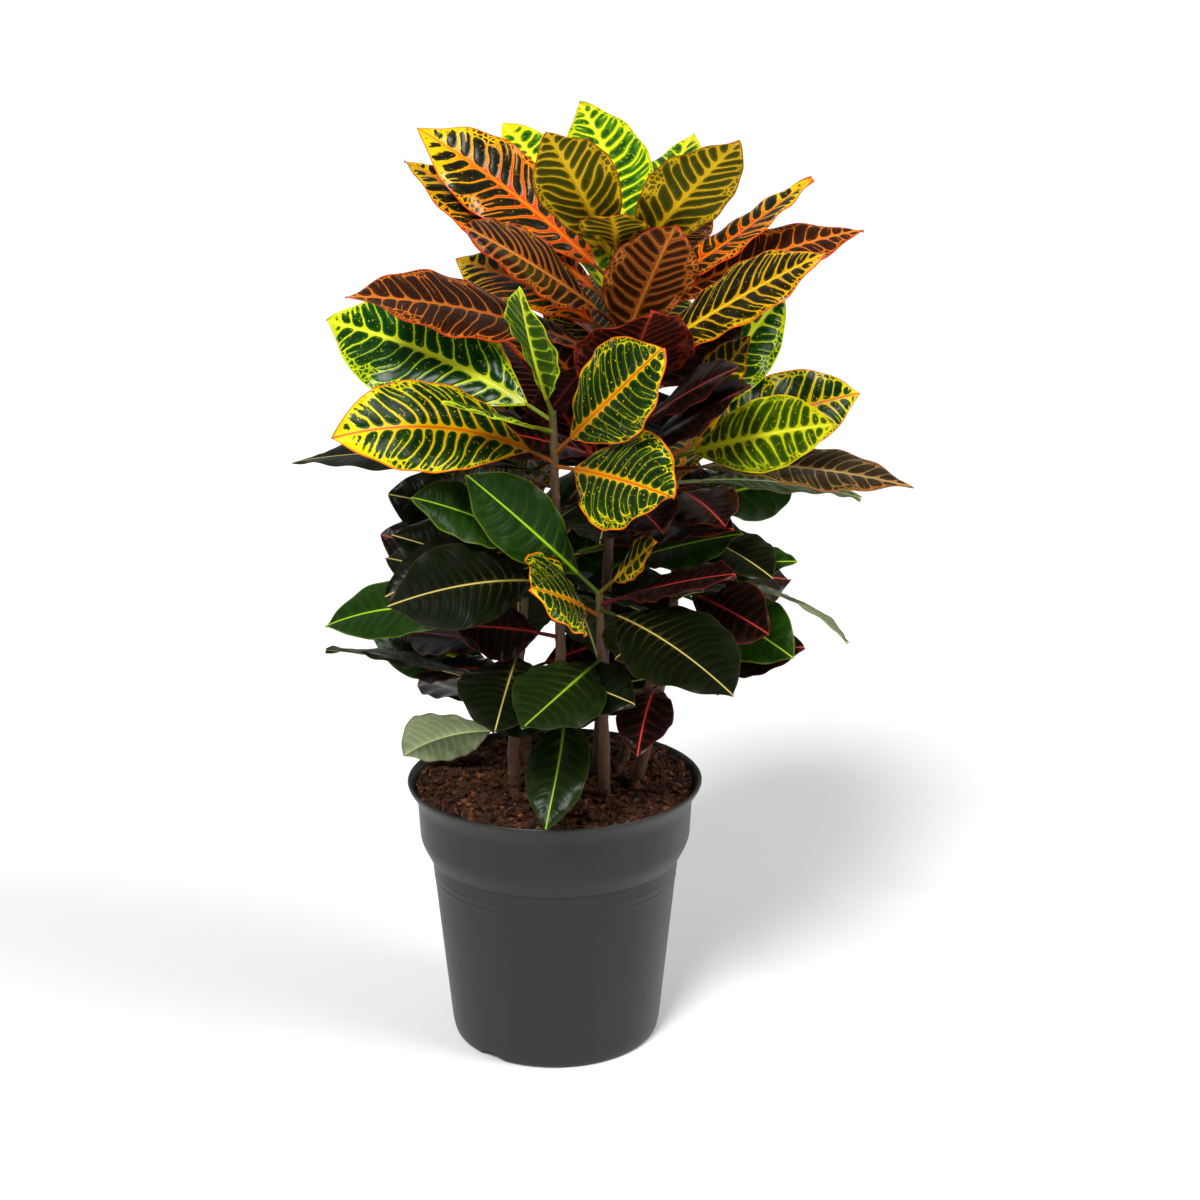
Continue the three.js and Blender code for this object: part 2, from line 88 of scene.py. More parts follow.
camera_data = bpy.data.cameras.new("camera")
camera_data.lens = LENS
camera_data.sensor_width = SENSOR_WIDTH
camera_data.clip_end = FARTHEST_VIEW
camera = bpy.data.objects.new("camera", camera_data)
camera.location = CAMERA_PLACE
camera.rotation_euler = (math.radians(90 - CAMERA_DOWN), 0, math.radians(-CAMERA_RIGHT))
bpy.context.scene.collection.objects.link(camera)
bpy.context.scene.camera = camera
print("the camera is", round(-CAMERA_PLACE[1], 2), "m in front of the pot")

# %% [markdown]
# ## Helpers for materials
# A colour is picked on screen, but a shader adds up light, and the two scales differ. So every colour is
# written as on screen and turned into linear light by one small function.

# %% Colours as light
def colour(text):
    """A colour written as on screen, #rrggbb, in the linear light that shaders work in."""
    parts = [int(text[i:i + 2], 16) / 255 for i in (1, 3, 5)]
    return tuple(p / 12.92 if p <= 0.04045 else ((p + 0.055) / 1.055) ** 2.4 for p in parts) + (1.0,)


print("a grey half way up the screen's scale is", round(colour("#808080")[0], 2), "of full light")

# %% [markdown]
# A material is a small graph of nodes. Writing one link at a time hides the idea, so short helpers come
# first: one feeds a number, a colour or another node into a socket, a few do arithmetic, and one mixes
# two colours.

# %% Material helpers
class Graph:
    """The node tree of a new material, with short words for the nodes used here."""

    def __init__(self, name):
        self.material = bpy.data.materials.new(name)
        self.material.use_nodes = True
        self.tree = self.material.node_tree
        self.shader = self.tree.nodes["Principled BSDF"]

    def add(self, kind, **settings):
        made = self.tree.nodes.new("ShaderNode" + kind)
        for key, value in settings.items():
            setattr(made, key, value)
        return made

    def feed(self, socket, value):
        if isinstance(value, bpy.types.NodeSocket):
            self.tree.links.new(value, socket)
        else:
            socket.default_value = value

    def sum(self, operation, *values):
        made = self.add("Math", operation=operation)
        for socket, value in zip(made.inputs, values):
            self.feed(socket, value)
        return made.outputs[0]

    def plus(self, a, b):
        return self.sum("ADD", a, b)

    def minus(self, a, b):
        return self.sum("SUBTRACT", a, b)

    def times(self, a, b):
        return self.sum("MULTIPLY", a, b)

    def most(self, a, b):
        return self.sum("MAXIMUM", a, b)

    def least(self, a, b):
        return self.sum("MINIMUM", a, b)

    def sway(self, noise_value, amount):
        """A noise turned into a shift to both sides of zero."""
        return self.times(self.minus(noise_value, 0.5), amount)

    def mix(self, share, a, b, mode="MIX"):
        made = self.add("Mix", data_type="RGBA", blend_type=mode)
        for place, value in ((0, share), (6, a), (7, b)):
            self.feed(made.inputs[place], value)
        return made.outputs[2]

    def between(self, share, a, b):
        made = self.add("Mix", data_type="FLOAT")
        for place, value in ((0, share), (2, a), (3, b)):
            self.feed(made.inputs[place], value)
        return made.outputs[0]

    def step(self, value, low, high):
        """0 where value is at low, 1 where it is at high, and soft in between."""
        made = self.add("MapRange", interpolation_type="SMOOTHSTEP")
        for socket, number in zip(made.inputs, (value, low, high, 0.0, 1.0)):
            self.feed(socket, number)
        return made.outputs[0]

    def attribute(self, name):
        return self.add("Attribute", attribute_name=name)

    def split(self, vector):
        made = self.add("SeparateXYZ")
        self.feed(made.inputs[0], vector)
        return made.outputs

    def noise(self, vector, scale, detail=2.0, roughness=0.5, output="Fac"):
        made = self.add("TexNoise")
        self.feed(made.inputs["Vector"], vector)
        for name, value in (("Scale", scale), ("Detail", detail), ("Roughness", roughness)):
            made.inputs[name].default_value = value
        return made.outputs[output]

    def cells(self, vector, scale, feature="F1"):
        made = self.add("TexVoronoi", feature=feature)
        self.feed(made.inputs["Vector"], vector)
        made.inputs["Scale"].default_value = scale
        return made.outputs

    def bump(self, height, strength, distance):
        made = self.add("Bump")
        made.inputs["Strength"].default_value = strength
        made.inputs["Distance"].default_value = distance
        self.feed(made.inputs["Height"], height)
        self.feed(self.shader.inputs["Normal"], made.outputs[0])

    def stretched(self, vector, height):
        """A place with its height squeezed, so that a texture on it is drawn out upwards."""
        made = self.add("Mapping")
        self.feed(made.inputs["Vector"], vector)
        made.inputs["Scale"].default_value = (1.0, 1.0, height)
        return made.outputs[0]

    def finish(self, base, roughness, specular):
        self.feed(self.shader.inputs["Base Color"], base)
        self.feed(self.shader.inputs["Roughness"], roughness)
        self.shader.inputs["Specular IOR Level"].default_value = specular
        return self.material


def link(piece):
    bpy.context.scene.collection.objects.link(piece)
    return piece


trial = Graph("trial")
print("a new material starts with", len(trial.tree.nodes), "nodes")
bpy.data.materials.remove(trial.material)

# %% [markdown]
# ## Floor and lamps
# The plant stands on a pale seamless floor, as in a small photo studio. The key light is high in front,
# to the left, and very wide, so that its shadows have soft edges. A weaker one fills from the right.
# Area lamps would do the same, but they would leave the far parts of the floor grey. Two sun lamps with a
# wide angle light all of it evenly.

# %% Floor and lamps
FLOOR_SIZE = 1200.0

floor_graph = Graph("pale_floor")
floor_graph.finish(colour("#f6f6f5"), 0.8, specular=0.15)
floor_mesh = bpy.data.meshes.new("floor")
half_floor = FLOOR_SIZE / 2
floor_mesh.from_pydata(
    [(-half_floor, -half_floor, 0), (half_floor, -half_floor, 0),
     (half_floor, half_floor, 0), (-half_floor, half_floor, 0)], [], [(0, 1, 2, 3)])
floor_mesh.materials.append(floor_graph.material)
floor = link(bpy.data.objects.new("floor", floor_mesh))
floor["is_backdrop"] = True


def far_light(name, place, spread, strength):
    """A wide lamp so far away that it lights the floor evenly."""
    data = bpy.data.lights.new(name, "SUN")
    data.angle = math.radians(spread)
    data.energy = strength
    lamp = link(bpy.data.objects.new(name, data))
    lamp.location = place
    lamp.rotation_euler = (-Vector(place)).to_track_quat("-Z", "Y").to_euler()


far_light("key_light", (-0.7, -1.7, 1.8), 20, 3.0)
far_light("fill_light", (1.5, -0.7, 1.3), 30, 1.7)
print("two soft lamps over a floor of", FLOOR_SIZE, "m")

# %% [markdown]
# ## Sky
# The sky all round is bright above and behind the plant and dim on the viewer's side. Glossy leaves mirror
# what is in front of them, and it is this dim side that keeps their dark colours deep. Where the sky is
# seen directly, it is as pale as the floor, like a studio's curved backdrop, so no horizon shows.

# %% Sky
SKY_DIM = 0.08
SKY_BRIGHT = 0.42
SKY_LIFT = 0.9
SKY_DIM_UNTIL = -0.55
SKY_BRIGHT_FROM = 0.9
BACKDROP = 1.0
world = bpy.data.worlds.new("studio")
world.use_nodes = True
sky = world.node_tree
sky_place = sky.nodes.new("ShaderNodeTexCoord")
sky_parts = sky.nodes.new("ShaderNodeSeparateXYZ")
sky_height = sky.nodes.new("ShaderNodeMath")
sky_range = sky.nodes.new("ShaderNodeMapRange")
sky_height.operation = "MULTIPLY_ADD"
sky_height.inputs[1].default_value = SKY_LIFT
sky_range.interpolation_type = "SMOOTHSTEP"
for socket, number in zip(sky_range.inputs[1:], (SKY_DIM_UNTIL, SKY_BRIGHT_FROM, SKY_DIM, SKY_BRIGHT)):
    socket.default_value = number
sky.links.new(sky_place.outputs["Generated"], sky_parts.inputs[0])
sky.links.new(sky_parts.outputs["Z"], sky_height.inputs[0])
sky.links.new(sky_parts.outputs["Y"], sky_height.inputs[2])
sky.links.new(sky_height.outputs[0], sky_range.inputs[0])
sky_ray = sky.nodes.new("ShaderNodeLightPath")
sky_choice = sky.nodes.new("ShaderNodeMix")
sky_choice.inputs["B"].default_value = BACKDROP
sky.links.new(sky_ray.outputs["Is Camera Ray"], sky_choice.inputs["Factor"])
sky.links.new(sky_range.outputs[0], sky_choice.inputs["A"])
sky.links.new(sky_choice.outputs[0], sky.nodes["Background"].inputs["Strength"])
sky.nodes["Background"].inputs["Color"].default_value = (1.0, 1.0, 1.0, 1.0)
bpy.context.scene.world = world
bpy.context.scene.view_settings.view_transform = "Standard"
print("the sky shines", round(SKY_BRIGHT / SKY_DIM), "times as much behind the plant as in front")

# %% [markdown]
# ## The pot
# A nursery pot is blown or moulded from thin dark plastic. Its wall tapers so that pots stack, the top
# band is straight and a little wider, and the thin lip flares outwards so that fingers can hold it. The
# foot stands on a ring with two notches, which let the water out.
#
# Anything round about one axis is a profile turned on a lathe. The corners of the real profile aren't
# sharp, so each corner is rounded with a small curve before it is turned.

# %% Pot profile
POT_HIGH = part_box("pot")[1]
POT_HEIGHT = POT_HIGH.z / MM
RIM_RADIUS = POT_HIGH.x / MM
BASE_RADIUS = 75
WALL = 2
LIP_OVERHANG = 7
LIP_DEPTH = 13
COLLAR_DEPTH = 42
STEP_TOP_RADIUS = 96.5
STEP_BOTTOM_RADIUS = 89
STEP_BOTTOM = 137
PAD_RADIUS = 46
FOOT_WIDTH = 8
CHANNEL_HEIGHT = 4
COLLAR_BOTTOM = POT_HEIGHT - COLLAR_DEPTH
COLLAR_TOP = POT_HEIGHT - LIP_DEPTH
COLLAR_RADIUS = RIM_RADIUS - LIP_OVERHANG
LIP_INNER_RADIUS = RIM_RADIUS - 2.4
LIP_FOOT_RADIUS = COLLAR_RADIUS + 0.3
LIP_FOOT_HEIGHT = COLLAR_TOP + 6.5

# Each row is a corner of the profile: radius, height, and how much the corner is rounded
POT_CORNERS = [
    (0, 0, 0), (PAD_RADIUS, 0, 0.6), (PAD_RADIUS + 3, CHANNEL_HEIGHT, 1.0),
    (BASE_RADIUS - FOOT_WIDTH - 1, CHANNEL_HEIGHT, 1.0), (BASE_RADIUS - FOOT_WIDTH, 0, 0.6),
    (BASE_RADIUS - 1.6, 0.2, 4.0), (BASE_RADIUS + 0.6, 9, 4.0),
    (STEP_BOTTOM_RADIUS - 0.5, STEP_BOTTOM, 0.5), (STEP_BOTTOM_RADIUS + 1.3, STEP_BOTTOM + 0.4, 0.7),
    (STEP_TOP_RADIUS - 1.4, COLLAR_BOTTOM - 4, 3.0), (STEP_TOP_RADIUS, COLLAR_BOTTOM + 1, 2.0),
    (COLLAR_RADIUS, COLLAR_TOP, 5.0), (RIM_RADIUS - 1.0, POT_HEIGHT - 4, 2.5),
    (RIM_RADIUS, POT_HEIGHT - 1.2, 0.9), (RIM_RADIUS - 0.9, POT_HEIGHT, 0.7),
    (LIP_INNER_RADIUS, POT_HEIGHT - 0.6, 0.8), (LIP_FOOT_RADIUS, LIP_FOOT_HEIGHT, 3.0),
    (COLLAR_RADIUS - WALL, COLLAR_TOP - 1, 3.0), (STEP_TOP_RADIUS - WALL, COLLAR_BOTTOM + 1, 1.5),
    (STEP_BOTTOM_RADIUS - WALL, STEP_BOTTOM + 1, 1.5),
    (BASE_RADIUS - WALL, CHANNEL_HEIGHT + WALL, 3.0), (PAD_RADIUS + 3, CHANNEL_HEIGHT + WALL, 1.0),
    (PAD_RADIUS, WALL, 1.0), (0, WALL, 0),
]


CURVE_PIECES = 6
LONGEST_ROUNDING = 0.45


def rounded(corners):
    """The profile with a quadratic curve in place of each corner."""
    points = []
    for i, (radius, height, size) in enumerate(corners):
        here = np.array((radius, height), float)
        if size == 0:
            points.append(here)
            continue
        ends = []
        for other in (corners[i - 1], corners[i + 1]):
            away = np.array(other[:2], float) - here
            reach = min(size, LONGEST_ROUNDING * np.linalg.norm(away))
            ends.append(here + away / np.linalg.norm(away) * reach)
        for k in range(CURVE_PIECES + 1):
            t = k / CURVE_PIECES
            points.append((1 - t) ** 2 * ends[0] + 2 * t * (1 - t) * here + t * t * ends[1])
    return points


pot_profile = rounded(POT_CORNERS)
print("the pot's profile has", len(pot_profile), "points")

# %% [markdown]
# Two faint rings run round the wall just under the step, where the mould's halves have a bead. They are
# less than half a millimetre proud, so they go into the profile as a small bump on the tapered wall.

# %% Turn the pot
POT_SIDES = 144
ON_THE_AXIS = 1e-6
RING_HEIGHTS = (126.0, 120.5)
RING_RELIEF = 0.3
RING_WIDTH = 1.1
RING_ZONE = np.arange(STEP_BOTTOM - 26, STEP_BOTTOM - 9, 0.5)
RING_STRETCH = STEP_BOTTOM - 10


def with_rings(points):
    """The long tapered stretch gets extra points, so that it can carry the two rings."""
    done = []
    for a, b in zip(points, points[1:]):
        done.append(a)
        if a[1] < RING_STRETCH < b[1] and b[0] > a[0]:
            for height in RING_ZONE:
                t = (height - a[1]) / (b[1] - a[1])
                ring = sum(math.exp(-((height - h) / RING_WIDTH) ** 2) for h in RING_HEIGHTS)
                done.append(a + t * (b - a) + np.array((RING_RELIEF * ring, 0)))
    return done + [points[-1]]


def lathe(name, points, sides):
    """A closed body turned about the Z axis. The first and last point lie on the axis."""
    builder = bmesh.new()
    rows = []
    for radius, height in points:
        if radius < ON_THE_AXIS:
            rows.append([builder.verts.new((0, 0, height * MM))])
            continue
        angles = [2 * math.pi * k / sides for k in range(sides)]
        rows.append([
            builder.verts.new((radius * MM * math.cos(a), radius * MM * math.sin(a), height * MM))
            for a in angles])
    for low, high in zip(rows, rows[1:]):
        for k in range(sides):
            n = (k + 1) % sides
            corners = [low[k % len(low)], low[n % len(low)], high[n % len(high)], high[k % len(high)]]
            builder.faces.new(list(dict.fromkeys(corners)))
    bmesh.ops.recalc_face_normals(builder, faces=builder.faces)
    mesh = bpy.data.meshes.new(name)
    builder.to_mesh(mesh)
    builder.free()
    return link(bpy.data.objects.new(name, mesh))


pot = lathe("pot_wall", with_rings(pot_profile), POT_SIDES)
print("the turned pot has", len(pot.data.polygons), "faces")

# %% [markdown]
# Water leaves the pot through eight round holes in its floor and runs out under the foot ring through two
# shallow notches. Each is cut with a boolean, which takes the shape of one body away from another: an
# upright cylinder for a hole, and a lying one, mostly below the ground, for a notch.

# %% Cut the holes and notches
DRAIN_HOLES = 8
DRAIN_RADIUS = 4.5
DRAIN_CIRCLE = 57
NOTCH_ANGLES = (-129, 51)
NOTCH_RADIUS = 20
NOTCH_HEIGHT = 5
CUTTER_SIDES = 40


def round_cutter(radius, depth, place, angle, lying):
    """A cylinder whose place is its distance from the axis and its height."""
    builder = bmesh.new()
    bmesh.ops.create_cone(
        builder, cap_ends=True, segments=CUTTER_SIDES, radius1=radius * MM, radius2=radius * MM,
        depth=depth * MM)
    mesh = bpy.data.meshes.new("cutter")
    builder.to_mesh(mesh)
    builder.free()
    cutter = link(bpy.data.objects.new("cutter", mesh))
    turn = math.radians(angle)
    cutter.rotation_euler = (0, math.radians(90) if lying else 0, turn)
    cutter.location = (place[0] * MM * math.cos(turn), place[0] * MM * math.sin(turn), place[1] * MM)
    return cutter


def cut(piece, cutters):
    for cutter in cutters:
        change = piece.modifiers.new("cut", "BOOLEAN")
        change.operation = "DIFFERENCE"
        change.solver = "EXACT"
        change.object = cutter
    bpy.context.view_layer.update()
    shaped = piece.evaluated_get(bpy.context.evaluated_depsgraph_get())
    piece.data = bpy.data.meshes.new_from_object(shaped)
    piece.modifiers.clear()
    for cutter in cutters:
        bpy.data.objects.remove(cutter)


notches = [
    round_cutter(NOTCH_RADIUS, 2 * FOOT_WIDTH + 4, (BASE_RADIUS - 1, NOTCH_HEIGHT - NOTCH_RADIUS), a, True)
    for a in NOTCH_ANGLES]
drains = [
    round_cutter(DRAIN_RADIUS, 4 * WALL, (DRAIN_CIRCLE, CHANNEL_HEIGHT + WALL / 2),
                 (k + 0.5) * 360 / DRAIN_HOLES, False)
    for k in range(DRAIN_HOLES)]
cut(pot, notches + drains)
print("with its holes and notches the pot has", len(pot.data.polygons), "faces")

# %% [markdown]
# ### The pot's plastic
# Recycled dark plastic is anthracite grey, never black: light scatters a little in its skin. It is satin
# and slightly uneven, with a fine grain, faint upright flow marks from the mould, and some lighter dust
# and rub marks.

# %% Pot plastic
SMOOTH_UP_TO = math.radians(50)


def pot_plastic():
    g = Graph("pot_plastic")
    place = g.add("TexCoord").outputs["Object"]
    flow = g.noise(g.stretched(place, 0.06), 90.0, 3.0)
    clouds = g.noise(place, 14.0, 4.0, 0.6)
    grain = g.noise(place, 2600.0, 2.0)
    dust = g.step(g.noise(place, 420.0, 5.0, 0.75), 0.62, 0.78)
    base = g.mix(clouds, colour("#191a1a"), colour("#222221"))
    base = g.mix(g.times(flow, 0.25), base, colour("#31302c"))
    base = g.mix(g.times(dust, 0.1), base, colour("#6c6457"))
    rough = g.between(clouds, 0.36, 0.5)
    g.bump(g.plus(grain, g.times(flow, 0.6)), 0.12, 0.0003)
    return g.finish(base, rough, specular=0.32)


def dress(piece, material, node=None):
    """Give a piece its material, let it ride on the plant's one body, and hide the solid part it stands
    for.
    """
    piece.data.materials.clear()
    piece.data.materials.append(material)
    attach(piece, "root")
    if node:
        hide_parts(node)
    return piece


pot.data.shade_smooth()
pot.data.set_sharp_from_angle(angle=SMOOTH_UP_TO)
dress(pot, pot_plastic(), "pot")
print("the plastic's graph has", len(pot.active_material.node_tree.nodes), "nodes")

# %% [markdown]
# ## The soil
# Potting soil is peat, coir and bits of bark. Seen from a step away it is a dark, red-brown, very rough
# surface with chips of all sizes and deep shade between them. It could be painted on a flat disc, but
# soil is judged by its outline against the pot's lip, so it is built: a disc with a lot of relief, and
# more than two thousand loose clumps, chips and fibres lying on it.

# %% Soil surface
SOIL_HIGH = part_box("soil")[1]
SOIL_EDGE_HEIGHT = 188
SOIL_CROWN = 3
SOIL_MOUND = (60, 45, 5, 40)
SOIL_LUMP = 1.6
SOIL_EDGE = SOIL_HIGH.y / MM
SOIL_ROUND = 180
SOIL_ROWS = 64
WALL_GAP = 0.5
SIDE_GAP = 0.8
SOIL_FLOOR = CHANNEL_HEIGHT + WALL + 0.5

# Each pair is a noise in the soil's surface: how fine it is, and how deep in millimetres
RELIEF = ((0.035, 2.4), (0.1, 3.4), (0.24, 3.2), (0.6, 1.7))
RELIEF_LAYER = 7.3


def soil_height(x, y):
    """The height of the soil, in millimetres, at a place on it."""
    share = min(1.0, math.hypot(x, y) / SOIL_EDGE)
    lump = math.sin(0.17 * x + 0.11 * y) + math.sin(0.21 * y - 0.09 * x + 1.3)
    height = SOIL_EDGE_HEIGHT + SOIL_CROWN * (1 - share * share) + SOIL_LUMP * lump * (1 - share ** 8)
    mound_x, mound_y, mound_height, spread = SOIL_MOUND
    away = math.hypot(x - mound_x, y - mound_y) / spread
    height += mound_height * math.exp(-away * away)
    for frequency, depth in RELIEF:
        height += depth * noise.noise(Vector((x * frequency, y * frequency, RELIEF_LAYER)))
    return height


def within_wall(shape):
    """Press soil that would poke through the pot's wall against the inside of it."""
    heights = (COLLAR_TOP, LIP_FOOT_HEIGHT, POT_HEIGHT)
    radii = (COLLAR_RADIUS - WALL, LIP_FOOT_RADIUS, LIP_INNER_RADIUS)
    room = np.interp(shape[:, 2], heights, radii) - WALL_GAP
    reach = np.hypot(shape[:, 0], shape[:, 1]).clip(1e-6)
    return shape * np.stack([np.minimum(1, room / reach)] * 2 + [np.ones(len(shape))], -1)


def soil_body():
    """The points and faces of the soil: its surface, its side, and its underside on the pot's floor."""
    sides, rows = SOIL_ROUND, SOIL_ROWS
    points = [(0.0, 0.0, soil_height(0, 0))]
    for row in range(1, rows + 1):
        radius = SOIL_EDGE * row / rows
        for k in range(sides):
            angle = 2 * math.pi * (k + 0.5 * (row % 2)) / sides
            x, y = radius * math.cos(angle), radius * math.sin(angle)
            points.append((x, y, soil_height(x, y)))
    points = within_wall(np.array(points)).tolist()
    below = ((COLLAR_RADIUS - WALL - SIDE_GAP, COLLAR_TOP - 2),
             (STEP_TOP_RADIUS - WALL - SIDE_GAP, COLLAR_BOTTOM + 3),
             (STEP_BOTTOM_RADIUS - WALL - SIDE_GAP, STEP_BOTTOM),
             (BASE_RADIUS - WALL - 1, 10), (BASE_RADIUS - 6, SOIL_FLOOR))
    for radius, height in below:
        for k in range(sides):
            angle = 2 * math.pi * (k + 0.5 * (rows % 2)) / sides
            points.append((radius * math.cos(angle), radius * math.sin(angle), height))
    points.append((0.0, 0.0, SOIL_FLOOR))
    faces = [(0, 1 + k, 1 + (k + 1) % sides) for k in range(sides)]
    for row in range(rows + len(below) - 1):
        a, b = 1 + row * sides, 1 + (row + 1) * sides
        faces += [(a + k, b + k, b + (k + 1) % sides, a + (k + 1) % sides) for k in range(sides)]
    last = 1 + (rows + len(below) - 1) * sides
    faces += [(last + (k + 1) % sides, last + k, len(points) - 1) for k in range(sides)]
    return points, faces


soil_points, soil_faces = soil_body()
print("the soil has", len(soil_points), "points")

# %% [markdown]
# The loose chips are small rocks of bark: a ball with few faces, squashed, stretched and dented at random.
# Some are long thin fibres of coir. The random numbers start from a fixed seed, so that the same chips
# come out every time. A particle system could scatter them too, but written straight into the soil's mesh
# they are part of its shape wherever the soil is used.

# %% Chips on the soil
CLUMPS = 150
CHIPS = 1500
FIBRES = 1000
MOSTLY_SMALL = 2.2
DENTS = 0.35
STEEPEST = 0.5
RAISED = 0.25


def chip_shape():
    """A ball with few faces."""
    builder = bmesh.new()
    bmesh.ops.create_icosphere(builder, subdivisions=1, radius=1.0)
    points = np.array([v.co[:] for v in builder.verts])
    faces = [[v.index for v in f.verts] for f in builder.faces]
    builder.free()
    return points, faces


def scatter(points, faces, count, sizes, flat, seed):
    """Add count squashed, dented balls that lie half sunk in the soil."""
    draw = random.Random(seed)
    ball, ball_faces = chip_shape()
    for _ in range(count):
        radius = (SOIL_EDGE - 2) * math.sqrt(draw.random())
        around = draw.uniform(0, 2 * math.pi)
        x, y = radius * math.cos(around), radius * math.sin(around)
        size = sizes[0] + (sizes[1] - sizes[0]) * draw.random() ** MOSTLY_SMALL
        stretch = np.array((size * draw.uniform(0.8, 1.5) * flat[0], size * flat[1], size * flat[2]))
        dents = 1 + DENTS * np.array([draw.uniform(-1, 1) for _ in range(len(ball))])
        shape = ball * dents[:, None] * stretch
        tilt = draw.uniform(-STEEPEST, STEEPEST)
        turn = draw.uniform(0, 2 * math.pi)
        c, s = math.cos(tilt), math.sin(tilt)
        shape = shape @ np.array(((c, 0, s), (0, 1, 0), (-s, 0, c)))
        c, s = math.cos(turn), math.sin(turn)
        shape = shape @ np.array(((c, s, 0), (-s, c, 0), (0, 0, 1)))
        start = len(points)
        lift = soil_height(x, y) + RAISED * size * flat[2]
        points.extend(within_wall(shape + np.array((x, y, lift))).tolist())
        faces.extend(tuple(start + k for k in face) for face in ball_faces)


scatter(soil_points, soil_faces, CLUMPS, (4.0, 8.0), (0.9, 0.8, 0.55), seed=5)
scatter(soil_points, soil_faces, CHIPS, (0.8, 5.0), (1.1, 0.7, 0.55), seed=3)
scatter(soil_points, soil_faces, FIBRES, (2.4, 8.0), (1.2, 0.12, 0.11), seed=8)
soil_mesh = bpy.data.meshes.new("soil_top")
soil_mesh.from_pydata([tuple(c * MM for c in p) for p in soil_points], [], soil_faces)
soil = link(bpy.data.objects.new("soil_top", soil_mesh))
print("with chips and fibres it has", len(soil_mesh.polygons), "faces")

# %% [markdown]
# ### The soil's colour
# Wet peat is nearly black, bark is red-brown, and dry coir is tan. One noise chooses between them at the
# size of a chip, and a finer one breaks it up. Most of it is dull. Only the finest grains are damp, so
# they are less rough and catch a little light. They are also painted pale tan, partly as dry coir and
# partly as a painted glint.

# %% Soil material
def potting_soil():
    g = Graph("potting_soil")
    place = g.add("TexCoord").outputs["Object"]
    chips = g.cells(place, 300.0)
    pick = g.split(chips["Color"])[0]
    clouds = g.noise(place, 45.0, 5.0, 0.7)
    fine = g.noise(place, 900.0, 4.0, 0.7)
    base = g.mix(clouds, colour("#26130a"), colour("#58311d"))
    base = g.mix(g.step(pick, 0.8, 1.0), base, colour("#86502f"))
    base = g.mix(g.step(pick, 0.42, 0.1), base, colour("#150a05"))
    # The finest grains are painted pale tan: partly dry coir, partly a painted glint.
    base = g.mix(g.times(g.step(fine, 0.58, 0.76), 0.75), base, colour("#b08464"))
    g.bump(g.plus(fine, g.times(clouds, 0.5)), 0.8, 0.0018)
    return g.finish(base, g.between(g.step(fine, 0.5, 0.7), 0.9, 0.45), specular=0.22)


dress(soil, potting_soil(), "soil")
print("the soil's graph has", len(soil.active_material.node_tree.nodes), "nodes")

# %% [markdown]
# ## The plants
# The table below is the plan of the plant. Each entry is one rooted stem: the line that it follows, from
# the soil to its crown, and its leaves. A leaf is a row: its height on the stem, the way it points, how
# steeply it rises, its length with its stalk, its width, how much it droops, how far it is rolled about
# its midrib, how far it sweeps sideways, and which look it has. The inner leaves fill the shade between
# the stems. Those on the far side follow a rule: the golden ratio spreads them, as on most real stems.

